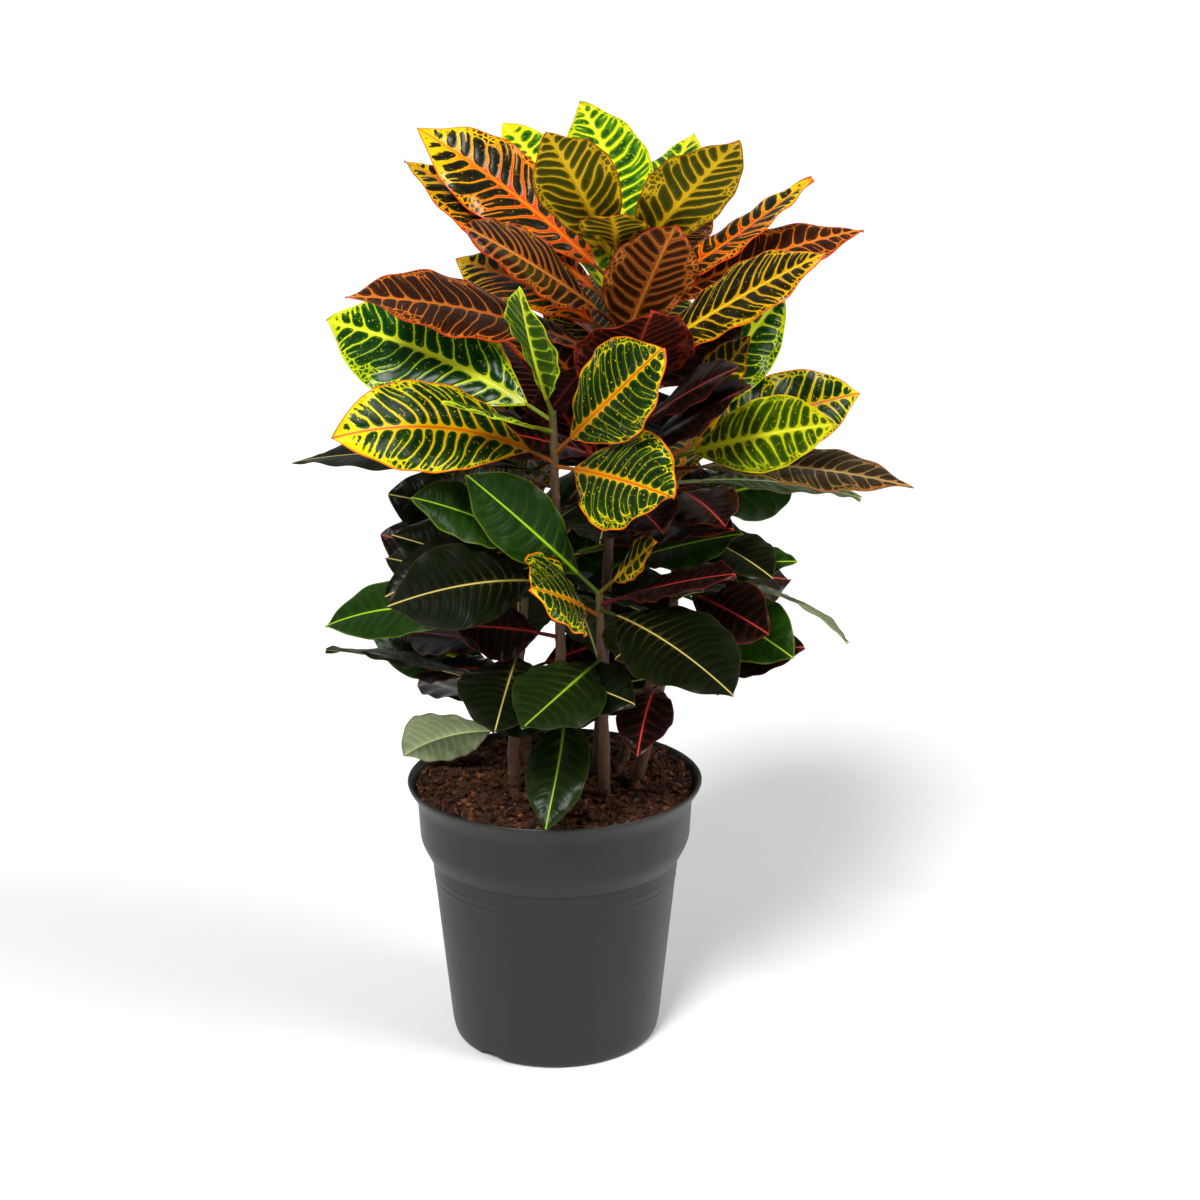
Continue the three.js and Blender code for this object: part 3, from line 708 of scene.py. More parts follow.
# %% The plan of the plant
PLANTS = [
    {
        "name": "tall_plant", "slot": "sunset_leaf",
        "axis": [(30, 5, 190), (34, 4, 260), (38, 2, 360), (42, 0, 460), (45, 0, 556)],
        "leaves": [
            (550, 104, 46, 148, 62, 10, -5, 50, "lemon"),
            (548, -117, 44, 145, 56, 10, 30, 0, "olive"),
            (552, 125, 33, 165, 50, 10, -30, 0, "lemon"),
            (545, -50, 41, 150, 58, 10, -30, 0, "olive"),
            (556, -95, 30, 95, 48, 20, 0, 0, "olive"),
            (540, 163, 36, 175, 60, 15, -50, 0, "sunset"),
            (525, 161, 32, 180, 58, 15, -30, 0, "sunset"),
            (515, -140, 30, 150, 60, 10, -50, 0, "rust"),
            (486, -58, 56, 122, 66, 10, -20, 0, "rust"),
            (479, -22, 32, 170, 60, 10, 42, 0, "ember"),
            (490, -159, 16, 195, 66, 25, -30, 0, "bronze"),
            (505, 141, 17, 150, 55, 20, -30, 0, "sunset"),
            (440, -76, 47, 130, 84, 20, 0, 0, "maroon"),
            (415, -43, 31, 140, 62, 10, 30, 0, "wine"),
            (524, 18, 31, 165, 46, -10, 10, 0, "sunset"),
            (514, 8, 24, 185, 48, 20, 30, 0, "bronze"),
            (540, 44, 30, 140, 42, 10, 0, 0, "olive"),
            (530, 50, 26, 130, 46, 10, 15, 0, "bronze"),
            (370, -52, 12, 130, 48, 10, 20, 0, "wine"),
            (386, -100, 2, 105, 50, 15, 0, 0, "dark"),
            (385, 10, 5, 110, 46, 15, 20, 0, "wine"),
        ],
        "inner": [
            (430, -20, 8, 130, 54, 15, 30, 0, "wine"),
            (420, -150, 12, 130, 56, 15, -30, 0, "wine"),
            (395, -75, -8, 115, 52, 20, 20, 0, "wine"),
            (360, -135, 8, 110, 50, 10, -30, 0, "dark"),
            (345, -25, 10, 115, 52, 10, 35, 0, "plain"),
            (455, 2, 18, 115, 48, 10, 50, 0, "wine"),
            (268, -112, 48, 100, 50, 10, 0, 0, "dark"),
        ],
        "behind": {"count": 10, "from": 535, "to": 405, "side": (60, 150), "rise": (42, 18)},
        "behind_looks": ("lemon", "sunset", "gold", "bronze", "maroon"),
    },
    {
        "name": "front_plant", "slot": "dark_leaf",
        "axis": [(34, -40, 190), (34, -55, 230), (32, -64, 290), (30, -68, 346)],
        "leaves": [
            (330, -122, 25, 94, 70, 10, -50, 0, "lined"),
            (346, -153, 44, 128, 52, 5, -75, 0, "plain"),
            (346, -55, 38, 78, 32, 0, 60, 0, "olive"),
            (335, -60, -6, 160, 70, 20, 25, 0, "dark"),
            (300, -116, -6, 120, 62, 20, -20, -20, "deep"),
            (338, -42, 20, 120, 46, 10, 20, 0, "wine"),
        ],
        "inner": [
            (286, 166, 6, 88, 46, 10, -55, 0, "dark"),
        ],
        "behind": None,
        "behind_looks": (),
    },
    {
        "name": "front_left_plant", "slot": "gold_net_leaf",
        "axis": [(6, -25, 190), (5, -36, 240), (4, -50, 320), (2, -62, 390), (0, -66, 468)],
        "leaves": [
            (462, 154, 18, 178, 82, 22, -60, 0, "green"),
            (434, -148, 12, 165, 66, 40, -60, 0, "gold"),
            (466, -104, 49, 125, 48, -20, -40, 0, "green"),
            (455, -127, 18, 118, 34, 0, -10, 0, "green"),
            (440, -49, 39, 130, 66, 0, 90, 0, "lined"),
            (432, -52, 0, 117, 72, 10, 55, 0, "lined"),
            (425, 161, -1, 190, 50, 25, -15, 0, "dark"),
            (418, 133, -12, 140, 52, 20, -30, 0, "dusk"),
            (405, 139, -17, 150, 40, 30, 0, 0, "pale"),
            (395, 126, -11, 120, 48, 10, -60, 0, "dark"),
            (350, -130, 7, 165, 58, 20, -65, 0, "dark"),
            (365, -131, 12, 125, 48, 20, -50, 0, "plain"),
            (262, -98, -30, 112, 46, 60, 10, -30, "deep"),
        ],
        "inner": [
            (380, -165, -14, 120, 52, 20, -40, 0, "dark"),
            (340, 175, 20, 120, 54, 10, -45, 0, "dark"),
            (310, -155, 0, 95, 50, 10, -60, 0, "wine"),
        ],
        "behind": {"count": 5, "from": 405, "to": 300, "side": (65, 150), "rise": (38, 8)},
        "behind_looks": ("plain", "dark"),
    },
    {
        "name": "right_plant", "slot": "green_leaf",
        "axis": [(45, 12, 190), (64, 14, 245), (84, 14, 300), (86, 8, 370), (78, 0, 432)],
        "leaves": [
            (430, 37, 43, 145, 54, 5, 55, 0, "green"),
            (432, -26, 53, 100, 40, 0, 60, 0, "olive"),
            (425, 23, 12, 155, 60, 10, 65, 0, "gold"),
            (420, 39, 17, 130, 52, 10, 55, 0, "green"),
            (422, -37, 17, 135, 54, 10, 70, 0, "lime"),
            (415, -30, 2, 178, 46, 20, 20, 0, "dusk"),
            (405, 20, -9, 150, 42, 20, 10, 0, "pale"),
            (400, -75, 0, 110, 46, 20, 20, 0, "wine"),
            (385, 43, -5, 110, 52, 10, 70, 0, "plain"),
            (370, -60, -4, 115, 46, 20, 20, 0, "dark"),
        ],
        "inner": [
            (325, -35, 6, 120, 54, 15, 40, 0, "plain"),
            (300, -120, 10, 105, 50, 10, -10, 0, "dark"),
        ],
        "behind": {"count": 8, "from": 415, "to": 260, "side": (50, 140), "rise": (40, 0)},
        "behind_looks": ("gold", "green", "plain", "dark"),
    },
    {
        "name": "low_right_plant", "slot": "dark_leaf",
        "axis": [(56, -18, 190), (66, -24, 230), (78, -28, 290), (84, -30, 350)],
        "leaves": [
            (345, 45, -11, 125, 50, 10, 60, 0, "wine"),
            (340, -60, 7, 110, 48, 10, 50, 0, "wine"),
            (335, 24, -21, 150, 30, 60, 0, 0, "pale"),
            (330, -77, 24, 100, 46, 10, 0, 0, "dark"),
            (350, -20, 10, 85, 38, 10, 30, 0, "plain"),
            (300, 68, -36, 110, 44, 10, 0, 0, "dark"),
            (270, -103, -15, 90, 40, 60, 0, 0, "wine"),
        ],
        "inner": [
            (310, -130, 20, 100, 48, 10, -20, 0, "dark"),
            (285, -20, 12, 100, 46, 10, 40, 0, "wine"),
            (266, -172, 4, 90, 46, 10, -50, 0, "dark"),
        ],
        "behind": {"count": 3, "from": 330, "to": 290, "side": (15, 100), "rise": (30, 8)},
        "behind_looks": ("plain", "dark"),
    },
    {
        "name": "low_left_plant", "slot": "dark_leaf",
        "axis": [(-28, -30, 190), (-29, -38, 225), (-25, -47, 280), (-19, -51, 338)],
        "leaves": [
            (318, 154, -7, 158, 48, 40, -50, 0, "plain"),
            (335, 139, 2, 145, 48, 10, -60, 0, "dark"),
            (300, 129, -7, 130, 46, 10, -30, 0, "wine"),
            (285, 128, -14, 125, 40, 10, -20, 0, "wine"),
            (305, -97, -9, 125, 66, 10, -10, 0, "dark"),
            (240, 141, -26, 112, 48, 30, 60, 0, "pale"),
        ],
        "inner": [
            (290, -40, 12, 100, 48, 10, 30, 0, "dark"),
        ],
        "behind": {"count": 6, "from": 325, "to": 235, "side": (70, 150), "rise": (34, -6)},
        "behind_looks": ("plain", "dark"),
    },
    {
        "name": "back_plant", "slot": "green_leaf",
        "axis": [(-20, 36, 190), (-26, 44, 250), (-28, 48, 330), (-22, 46, 420)],
        "leaves": [],
        "inner": [
            (418, -60, 40, 125, 56, 10, 10, 0, "wine"),
            (410, -125, 30, 125, 56, 10, -20, 0, "plain"),
            (400, 12, 22, 130, 56, 10, 60, 0, "dark"),
            (396, 160, 24, 95, 50, 10, -60, 0, "plain"),
            (368, -12, 14, 130, 56, 10, 60, 0, "wine"),
            (362, -170, 16, 95, 52, 10, -60, 0, "dark"),
            (345, -80, 45, 120, 54, 10, 0, 0, "dark"),
            (330, 12, 12, 130, 56, 10, 60, 0, "plain"),
            (326, 164, 14, 105, 54, 10, -60, 0, "wine"),
            (292, -12, 14, 125, 54, 10, 60, 0, "dark"),
            (288, -174, 14, 100, 52, 10, -60, 0, "dark"),
            (255, 14, 14, 120, 52, 10, 60, 0, "wine"),
            (250, 166, 14, 115, 50, 10, -60, 0, "plain"),
            (228, 6, 12, 105, 46, 10, 60, 0, "dark"),
            (262, -88, 50, 105, 54, 10, 0, 0, "dark"),
        ],
        "behind": {"count": 12, "from": 415, "to": 262, "side": (40, 150), "rise": (52, 25)},
        "behind_looks": ("gold", "green", "gold", "plain", "wine", "dark"),
    },
]
print("the plan names", sum(len(p["leaves"]) for p in PLANTS), "leaves one by one")

# %% [markdown]
# The far side isn't seen from the front, and its leaves need no row each. One rule places them from the
# top of a stem down, with sizes like those of the front. A few sines of the leaf's number keep any two
# of them from being alike.

# %% Leaves on the far side
GOLDEN = 0.618
BEHIND_LENGTH = (150, 22)
BEHIND_WIDTH = (56, 7)
BEHIND_DROOP = (16, 10)
BEHIND_ROLL = 22


def leaves_behind(rule, looks, seed):
    """The leaves on a stem's far side, from the top down."""
    rows = []
    count = rule["count"]
    for i in range(count):
        share = i / (count - 1)
        spread = GOLDEN * (i + seed) % 1
        rows.append((
            rule["from"] + share * (rule["to"] - rule["from"]),
            rule["side"][0] + spread * (rule["side"][1] - rule["side"][0]),
            rule["rise"][0] + share * (rule["rise"][1] - rule["rise"][0]),
            BEHIND_LENGTH[0] + BEHIND_LENGTH[1] * math.sin(2.3 * i + seed),
            BEHIND_WIDTH[0] + BEHIND_WIDTH[1] * math.sin(1.9 * i + 2 * seed),
            BEHIND_DROOP[0] + BEHIND_DROOP[1] * math.sin(1.1 * i),
            BEHIND_ROLL * math.sin(2.7 * i + seed),
            0,
            looks[min(len(looks) - 1, int(share * len(looks)))],
        ))
    return rows


print("the rule asks for", sum(p["behind"]["count"] for p in PLANTS if p["behind"]), "more")

# %% [markdown]
# ### The stems
# A croton's stem is woody, brown-grey and as thick as a finger's bone. Every leaf that has fallen leaves a
# scar, a pale half ring with a dark dot, and the scars climb the stem in a spiral. The young top is green.
#
# A stem is a tube along its line. A curve with a bevel would do, but the scars change the thickness all
# the time, so the rings of the tube are made one by one, with the radius worked out for each point.

# %% Stem shape
ROOT_DEPTH = 55
STEM_RADIUS = 4.6
STEM_TOP_RADIUS = 2.8
STEM_STRAIGHT = 8
STEM_SIDES = 28
RING_STEP = 1.6
SCAR_SPACING = 8.5
SCAR_ANGLE = math.radians(137.5)
SCAR_HEIGHT = 1.5
SCAR_WIDTH = 1.3
SCAR_RELIEF = 0.55
FISSURE_RELIEF = 0.35
EASED_OVER = 6.0
EASED_POINTS = 7
BARK_ROOM = 0.4
HOLE_ROOM = 0.3
BARE_BELOW = 2


def axis_at(axis, height):
    """The place of a stem's centre line at a height, in millimetres."""
    i = 0
    while i < len(axis) - 2 and height > axis[i + 1][2]:
        i += 1
    a, b = np.array(axis[i], float), np.array(axis[i + 1], float)
    return a + (b - a) * (height - a[2]) / (b[2] - a[2])


def smooth_axis(axis, height):
    """The same line with its corners eased over a few millimetres."""
    low, high = axis[0][2] + STEM_STRAIGHT, axis[-1][2]
    spots = np.linspace(max(low, height - EASED_OVER), min(high, height + EASED_OVER), EASED_POINTS)
    place = sum(axis_at(axis, s) for s in spots) / len(spots)
    return np.array((place[0], place[1], height))


def scar_relief(height, around, soil):
    """How far the bark stands out at a point, in millimetres."""
    step = (height - soil) / SCAR_SPACING
    relief = 0.0
    for k in (math.floor(step), math.floor(step) + 1):
        above = (height - soil - k * SCAR_SPACING) / SCAR_HEIGHT
        away = math.remainder(around - k * SCAR_ANGLE, 2 * math.pi) / SCAR_WIDTH
        relief += SCAR_RELIEF * math.exp(-above * above - away * away)
    fissure = noise.noise(Vector((2.4 * math.cos(around), 2.4 * math.sin(around), height * 0.05 + soil)))
    return relief + FISSURE_RELIEF * fissure


def stem_mesh(name, axis):
    """A tube of rings along the stem's line. Below the soil it is smooth, and thin enough for its hole."""
    x0, y0, soil = axis[0]
    top = axis[-1][2] + 2
    heights = np.arange(soil - ROOT_DEPTH, top, RING_STEP)
    points, shares, faces = [], [], []
    for height in heights:
        if height < soil + STEM_STRAIGHT:
            centre = np.array((x0, y0, height), float)
        else:
            centre = smooth_axis(axis, height)
        share = max(0.0, (height - soil - STEM_STRAIGHT) / (top - soil - STEM_STRAIGHT))
        radius = STEM_RADIUS + share * (STEM_TOP_RADIUS - STEM_RADIUS) - BARK_ROOM
        if height < soil - BARE_BELOW:
            radius -= HOLE_ROOM
        for k in range(STEM_SIDES):
            around = 2 * math.pi * k / STEM_SIDES
            out = radius + (scar_relief(height, around, soil) if height > soil - BARE_BELOW else 0)
            points.append(centre + np.array((out * math.cos(around), out * math.sin(around), 0)))
            shares.append(share)
    rows = len(heights)
    for row in range(rows - 1):
        for k in range(STEM_SIDES):
            a, b = row * STEM_SIDES + k, row * STEM_SIDES + (k + 1) % STEM_SIDES
            faces.append((a, b, b + STEM_SIDES, a + STEM_SIDES))
    faces.append(tuple(reversed(range(STEM_SIDES))))
    faces.append(tuple(range((rows - 1) * STEM_SIDES, rows * STEM_SIDES)))
    mesh = bpy.data.meshes.new(name)
    mesh.from_pydata((np.array(points) * MM).tolist(), [], faces)
    mesh.attributes.new("stem_share", "FLOAT", "POINT").data.foreach_set("value", shares)
    mesh.shade_smooth()
    return mesh


print("a stem is", 2 * STEM_RADIUS, "mm thick at the soil and", 2 * STEM_TOP_RADIUS, "mm at its crown")

# %% [markdown]
# The bark is a mix of two browns, drawn out along the stem, with paler spots. Near the crown the stem is
# still green and faintly red. A bark picture would have to be wrapped round each bent stem. A noise that
# is drawn out upwards needs no wrapping, and a number on each ring says how near the crown is.

# %% Stem material
def stem_bark():
    """Bark that turns into young green skin towards the crown."""
    g = Graph("stem_bark")
    place = g.add("TexCoord").outputs["Object"]
    share = g.attribute("stem_share").outputs["Fac"]
    fibres = g.noise(g.stretched(place, 0.25), 520.0, 4.0, 0.65)
    spots = g.noise(place, 160.0, 3.0, 0.6)
    bark = g.mix(fibres, colour("#2a1a10"), colour("#67462f"))
    bark = g.mix(g.step(spots, 0.6, 0.78), bark, colour("#8a6a4e"))
    young = g.mix(spots, colour("#3e4a1e"), colour("#5a3420"))
    base = g.mix(g.step(share, 0.72, 1.0), bark, young)
    g.bump(fibres, 0.5, 0.0006)
    return g.finish(base, g.between(share, 0.78, 0.5), specular=0.35)


bark = stem_bark()
for plant in PLANTS:
    name = plant["name"] + "_stem"
    stem = link(bpy.data.objects.new(name, stem_mesh(name, plant["axis"])))
    dress(stem, bark, plant["name"])
print(len(PLANTS), "stems stand in the soil")

# %% [markdown]
# ### The shape of a leaf
# A croton leaf is a long oval on a short stalk. It is folded a little along its midrib, its two halves
# arch like a roof tile, and its margin waves up and down. The formula here is the same one that shaped the
# solid leaves, so the fine leaf lies exactly where the solid one is.

# %% Leaf shape
PETIOLE_LENGTH = 20
PETIOLE_RADIUS = 1.4
FOLD = math.radians(16)
LAMINA_ARCH = 0.22
EDGE_WAVE = 0.035
TWIST_DEGREES = 12
MIDRIB_STEPS = 48


def heading(leaf, share):
    """The way that the midrib runs, as rows of unit vectors."""
    _, azimuth, rise, _, _, droop, _, sweep = leaf[:8]
    up = np.radians(rise + droop * (0.5 - share))
    turn = np.radians(azimuth + sweep * (share - 0.5))
    return np.stack([np.cos(up) * np.cos(turn), np.cos(up) * np.sin(turn), np.sin(up)], axis=-1)


def midrib_of(start, leaf):
    """Points from the stem's centre line to the leaf's tip."""
    steps = heading(leaf, (np.arange(MIDRIB_STEPS) + 0.5) / MIDRIB_STEPS)
    points = np.vstack([np.zeros(3), np.cumsum(steps, axis=0)])
    return start + points * (leaf[3] / np.linalg.norm(points[-1]))


def half_width(share, leaf):
    """Half the blade's width. A slender leaf has a drawn-out tip, a broad one a blunt tip."""
    length, width = leaf[3:5]
    body = np.sin(np.pi * np.clip(share, 0, 1) ** 1.2).clip(0) ** 0.8
    narrow = max(0.0, 0.9 - 1.6 * width / length)
    return width / 2 * body * (1 - narrow * np.maximum(0, (share - 0.78) / 0.22) ** 2)


def unit(rows):
    return rows / np.linalg.norm(rows, axis=-1, keepdims=True)


def leaf_frame(midrib, leaf, share):
    """Centre, sideways and upward direction at shares of the midrib's whole length."""
    place = share * MIDRIB_STEPS
    centre = np.stack([np.interp(place, np.arange(MIDRIB_STEPS + 1), midrib[:, k]) for k in range(3)], -1)
    along = heading(leaf, share)
    azimuth = math.radians(leaf[1])
    level = np.array((-math.sin(azimuth), math.cos(azimuth), 0.0))
    level = unit(level - along * (along @ level)[..., None])
    upright = np.cross(along, level)
    twist = TWIST_DEGREES * math.sin(1.7 * leaf[0]) * (share - 0.5)
    angle = np.radians(leaf[6] + twist)[..., None]
    side = level * np.cos(angle) + upright * np.sin(angle)
    normal = upright * np.cos(angle) - level * np.sin(angle)
    return centre, side, normal


def blade_points(midrib, leaf, share, across, lift):
    """Points of the blade: share runs from its foot to its tip and across from -1 to 1."""
    height, _, _, length, width = leaf[:5]
    stalk = PETIOLE_LENGTH / length
    centre, side, normal = leaf_frame(midrib, leaf, stalk + (1 - stalk) * share)
    half = half_width(share, leaf)
    phase = 3 * math.pi * share + np.where(across > 0, 0.0, 2.1) + 0.37 * height
    wave = EDGE_WAVE * width * across ** 2 * np.sin(phase) * np.minimum(1, 3 * share)
    rise = half * (np.abs(across) * math.sin(FOLD) - LAMINA_ARCH * across ** 2)
    return (centre + side * (half * across * math.cos(FOLD))[..., None]
            + normal * (rise + wave + lift)[..., None])


sample = (0, 0, 0, 150, 56)
print("a leaf of 150 x 56 mm is", round(2 * float(half_width(0.9, sample)), 1), "mm wide near its tip")

# %% [markdown]
# On a real plant, leaves push each other aside as they grow. In the solid model each leaf took a small
# turn where it would have touched an earlier one. To follow it, every allowed turn is tried here, and the
# one whose tip and widest point are found among the solid's own corners is the right one.

# %% Find each leaf in the frame
TURN_SIZES = (5, 10, 16, 24)
TURN_WAYS = ((1, 0), (-1, 0), (0, 1), (0, -1), (1, 1), (-1, 1), (1, -1), (-1, -1))
OUTER_ROW = 0.36
HIDDEN_ROW = 0.5
SOLID_THICKNESS = 1.0
NEAR = 1.0 * MM
ROLL_SHARE = 1.5


def turns():
    """Changes of azimuth, rise and roll, from none to the largest."""
    yield 0, 0, 0
    for size in TURN_SIZES:
        for way in TURN_WAYS:
            yield size * way[0], size * way[1], 0
        yield 0, 0, ROLL_SHARE * size
        yield 0, 0, -ROLL_SHARE * size


def corners_of(node):
    """A search tree of a node's corners."""
    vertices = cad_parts[node].data.vertices
    tree = kdtree.KDTree(len(vertices))
    for i, vertex in enumerate(vertices):
        tree.insert(vertex.co, i)
    tree.balance()
    return tree


def found(tree, point):
    return tree.find(Vector(point * MM))[2] < NEAR


def placed(tree, axis, leaf, row):
    """The leaf with the turn that the solid model gave it, or None if it has no such leaf."""
    start = axis_at(axis, leaf[0])
    for around, up, over in turns():
        turned = (leaf[0], leaf[1] + around, leaf[2] + up, *leaf[3:6], leaf[6] + over, *leaf[7:])
        midrib = midrib_of(start, turned)
        edge = blade_points(
            midrib, turned, np.array([row, row]), np.array([-1.0, 1.0]),
            np.array([SOLID_THICKNESS / 2] * 2))
        if found(tree, midrib[-1]) and found(tree, edge[0]) and found(tree, edge[1]):
            return turned
    return None


GROWN = []
for number, plant in enumerate(PLANTS):
    tree = corners_of(plant["name"])
    hidden = list(plant["inner"])
    if plant["behind"]:
        hidden += leaves_behind(plant["behind"], plant["behind_looks"], number)
    for row, rows in ((OUTER_ROW, plant["leaves"]), (HIDDEN_ROW, hidden)):
        for leaf in rows:
            turned = placed(tree, plant["axis"], leaf, row)
            if turned:
                GROWN.append((plant, turned, row == OUTER_ROW))
            else:
                print("no solid leaf at height", round(leaf[0]), "on", plant["name"])
print(len(GROWN), "leaves found in the frame")

# %% [markdown]
# ### The side veins
# The side veins run out from the midrib, slanting towards the tip and bending a little more as they near
# the margin. Their place is worked out once, as a number that grows by one from vein to vein, and stored on
# each point. The material reads the same number, so paint and relief agree.

# %% Side veins
VEIN_SLANT = 0.4
SLANT_VARIES = 0.14
VEIN_CURVE = 0.011
SIDE_OFFSET = 0.42


def soft_step(value, low, high):
    """0 below low, 1 above high, and soft in between."""
    t = np.clip((value - low) / (high - low), 0, 1)
    return t * t * (3 - 2 * t)


def vein_phase(along, across, spacing, seed):
    """A number that grows by one from each side vein to the next, with an uneven beat."""
    slant = VEIN_SLANT + SLANT_VARIES * math.sin(5 * seed)
    phase = (along - slant * across - VEIN_CURVE * across ** 2) / spacing
    phase += 0.17 * np.sin(0.09 * along + seed) + 0.07 * np.sin(0.23 * along + 2 * seed)
    return phase + 0.1 * np.sin(0.16 * across + 0.07 * along + 3 * seed)


print("a blade of 130 mm has about", round(float(vein_phase(130.0, 0.0, 9.5, 0.0))), "side veins a side")

# %% [markdown]
# ### The mesh of a leaf
# Veins are pressed into the upper face and the flesh between them swells, like a quilt. Painted bumps
# would look right only from afar, so the fine leaf gets real relief: rounded cushions between the side
# veins, a raised midrib underneath, and a finer ruffle at the margin. It is a grid of points, denser at
# the midrib and at both ends, with one layer for the upper face and one for the lower.

# %% Leaf mesh
OUTER_COLUMNS = 20
HIDDEN_COLUMNS = 14
OUTER_ROWS = ((64, 118))
HIDDEN_ROWS = ((40, 56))
ROWS_PER_VEIN = 5.5
DENSER_IN_THE_MIDDLE = 1.25
THINNEST_HALF = 0.5
LEAF_THICKNESS = 0.7
EDGE_THICKNESS = 0.45
QUILT = 0.055
RUFFLE = 0.02
RIB_WIDTH = 1.3
RIB_ABOVE = 0.25


def leaf_mesh(name, axis, leaf, seed, spacing, outer):
    """The leaf's grid, its measures in millimetres, its relief, and the two layers of points."""
    height, _, _, length, width = leaf[:5]
    blade = length - PETIOLE_LENGTH
    midrib = midrib_of(axis_at(axis, height), leaf)
    columns = OUTER_COLUMNS if outer else HIDDEN_COLUMNS
    rows = int(np.clip(ROWS_PER_VEIN * blade / spacing, *(OUTER_ROWS if outer else HIDDEN_ROWS)))
    share = np.linspace(0.0, 1.0, rows)
    share = 0.5 * share + 0.5 * (1 - np.cos(np.pi * share)) / 2
    line = np.linspace(-1, 1, columns + 1)
    line = np.sign(line) * np.abs(line) ** DENSER_IN_THE_MIDDLE
    u, v = np.meshgrid(share, line, indexing="ij")
    half = np.maximum(half_width(u, leaf), THINNEST_HALF)
    signed = half * v
    across = np.abs(signed)
    edge = half - across
    along = blade * u
    phase = vein_phase(along, across, spacing, seed)
    cushion = np.sin(np.pi * ((phase + np.where(v > 0, SIDE_OFFSET, 0)) % 1)) ** 2
    relief = QUILT * spacing * cushion * soft_step(across, 1.5, 6) * soft_step(edge, 0.5, 6)
    wave = np.sin(11 * np.pi * u + 1.7 * seed + np.where(v > 0, 0, 1.9))
    ruffle = RUFFLE * width * np.abs(v) ** 3 * wave
    rib = (1.3 - 0.9 * u) * np.exp(-(across / RIB_WIDTH) ** 2)
    thick = LEAF_THICKNESS / 2 * (EDGE_THICKNESS + (1 - EDGE_THICKNESS) * soft_step(edge, 0.0, 2.5))
    body = relief + ruffle * soft_step(u, 0, 0.2)
    top = blade_points(midrib, leaf, u, v, body + thick + RIB_ABOVE * rib)
    under = blade_points(midrib, leaf, u, v, body - thick - rib)
    return weave(name, midrib, leaf, seed, (u, v, along, signed, across, edge, phase), top, under)


print("a leaf seen from outside has a grid of", OUTER_COLUMNS, "by up to", OUTER_ROWS[1], "cells")

# %% [markdown]
# The two layers of points still need faces, and the blade needs a rim and a stalk. The stalk is a round
# tube from inside the stem to a few millimetres under the blade, where it thins out into the midrib.

# %% Faces, rim and stalk
STALK_SIDES = 12
STALK_UNDER_BLADE = 9
STALK_RINGS = 12
KEPT_CLEAR = 0.1


def keep_inside(points, start):
    """Shrink a leaf a little about its foot where its tip would leave the solid model's box."""
    low, high = np.array(CAD_BOX[0]) / MM + KEPT_CLEAR, np.array(CAD_BOX[1]) / MM - KEPT_CLEAR
    away = points - start
    level = np.abs(away) < 1e-3
    room = np.where(away > 0, high - start, low - start) / np.where(level, 1.0, away)
    return start + away * min(1.0, np.where(level, 1.0, room).min())


def grid_faces(rows, columns, start, flip):
    i, j = np.meshgrid(np.arange(rows - 1), np.arange(columns), indexing="ij")
    a = start + i * (columns + 1) + j
    quad = np.stack([a, a + 1, a + columns + 2, a + columns + 1], -1).reshape(-1, 4)
    return quad[:, ::-1] if flip else quad


def rim_of(rows, columns):
    """The grid's border as a closed line of places, once round."""
    side = columns + 1
    line = list(range(columns)) + [r * side + columns for r in range(rows - 1)]
    line += [(rows - 1) * side + c for c in range(columns, 0, -1)]
    return np.array(line + [r * side for r in range(rows - 1, 0, -1)])


def stalk(midrib, leaf, start):
    """A round stalk from inside the stem to under the blade's foot, with its faces."""
    length = leaf[3]
    shares = np.linspace(0.0, (PETIOLE_LENGTH + STALK_UNDER_BLADE) / length, STALK_RINGS)
    centre, side, normal = leaf_frame(midrib, leaf, shares)
    out = (shares * length - PETIOLE_LENGTH).clip(0) / STALK_UNDER_BLADE
    radius = PETIOLE_RADIUS * (1.12 - 0.2 * shares * length / PETIOLE_LENGTH).clip(0.8) * (1 - 0.75 * out)
    angles = np.linspace(0, 2 * np.pi, STALK_SIDES, endpoint=False)
    ring = side[:, None] * np.cos(angles)[:, None] + normal[:, None] * np.sin(angles)[:, None]
    points = (centre - normal * (0.5 * out)[:, None])[:, None] + ring * radius[:, None, None]
    faces = []
    for row in range(len(shares) - 1):
        for k in range(STALK_SIDES):
            a, b = start + row * STALK_SIDES + k, start + row * STALK_SIDES + (k + 1) % STALK_SIDES
            faces.append((a, b, b + STALK_SIDES, a + STALK_SIDES))
    last = start + (len(shares) - 1) * STALK_SIDES
    ends = [tuple(range(start, start + STALK_SIDES))[::-1], tuple(range(last, last + STALK_SIDES))]
    return points.reshape(-1, 3), faces, ends


print("a stalk has", STALK_RINGS, "rings of", STALK_SIDES, "points")

# %% [markdown]
# Now the pieces are woven into one mesh: the upper face, the lower face, the thin rim between them and the
# stalk. Each point also keeps what the paint will ask of it: its place on the leaf, its measures in
# millimetres, and a flat place where a texture can be laid without stretching.

# %% Weave a leaf together
FAR_FROM_EDGE = 20
FLAT_APART = 40.0
LEAF_SMOOTH_UP_TO = math.radians(48)


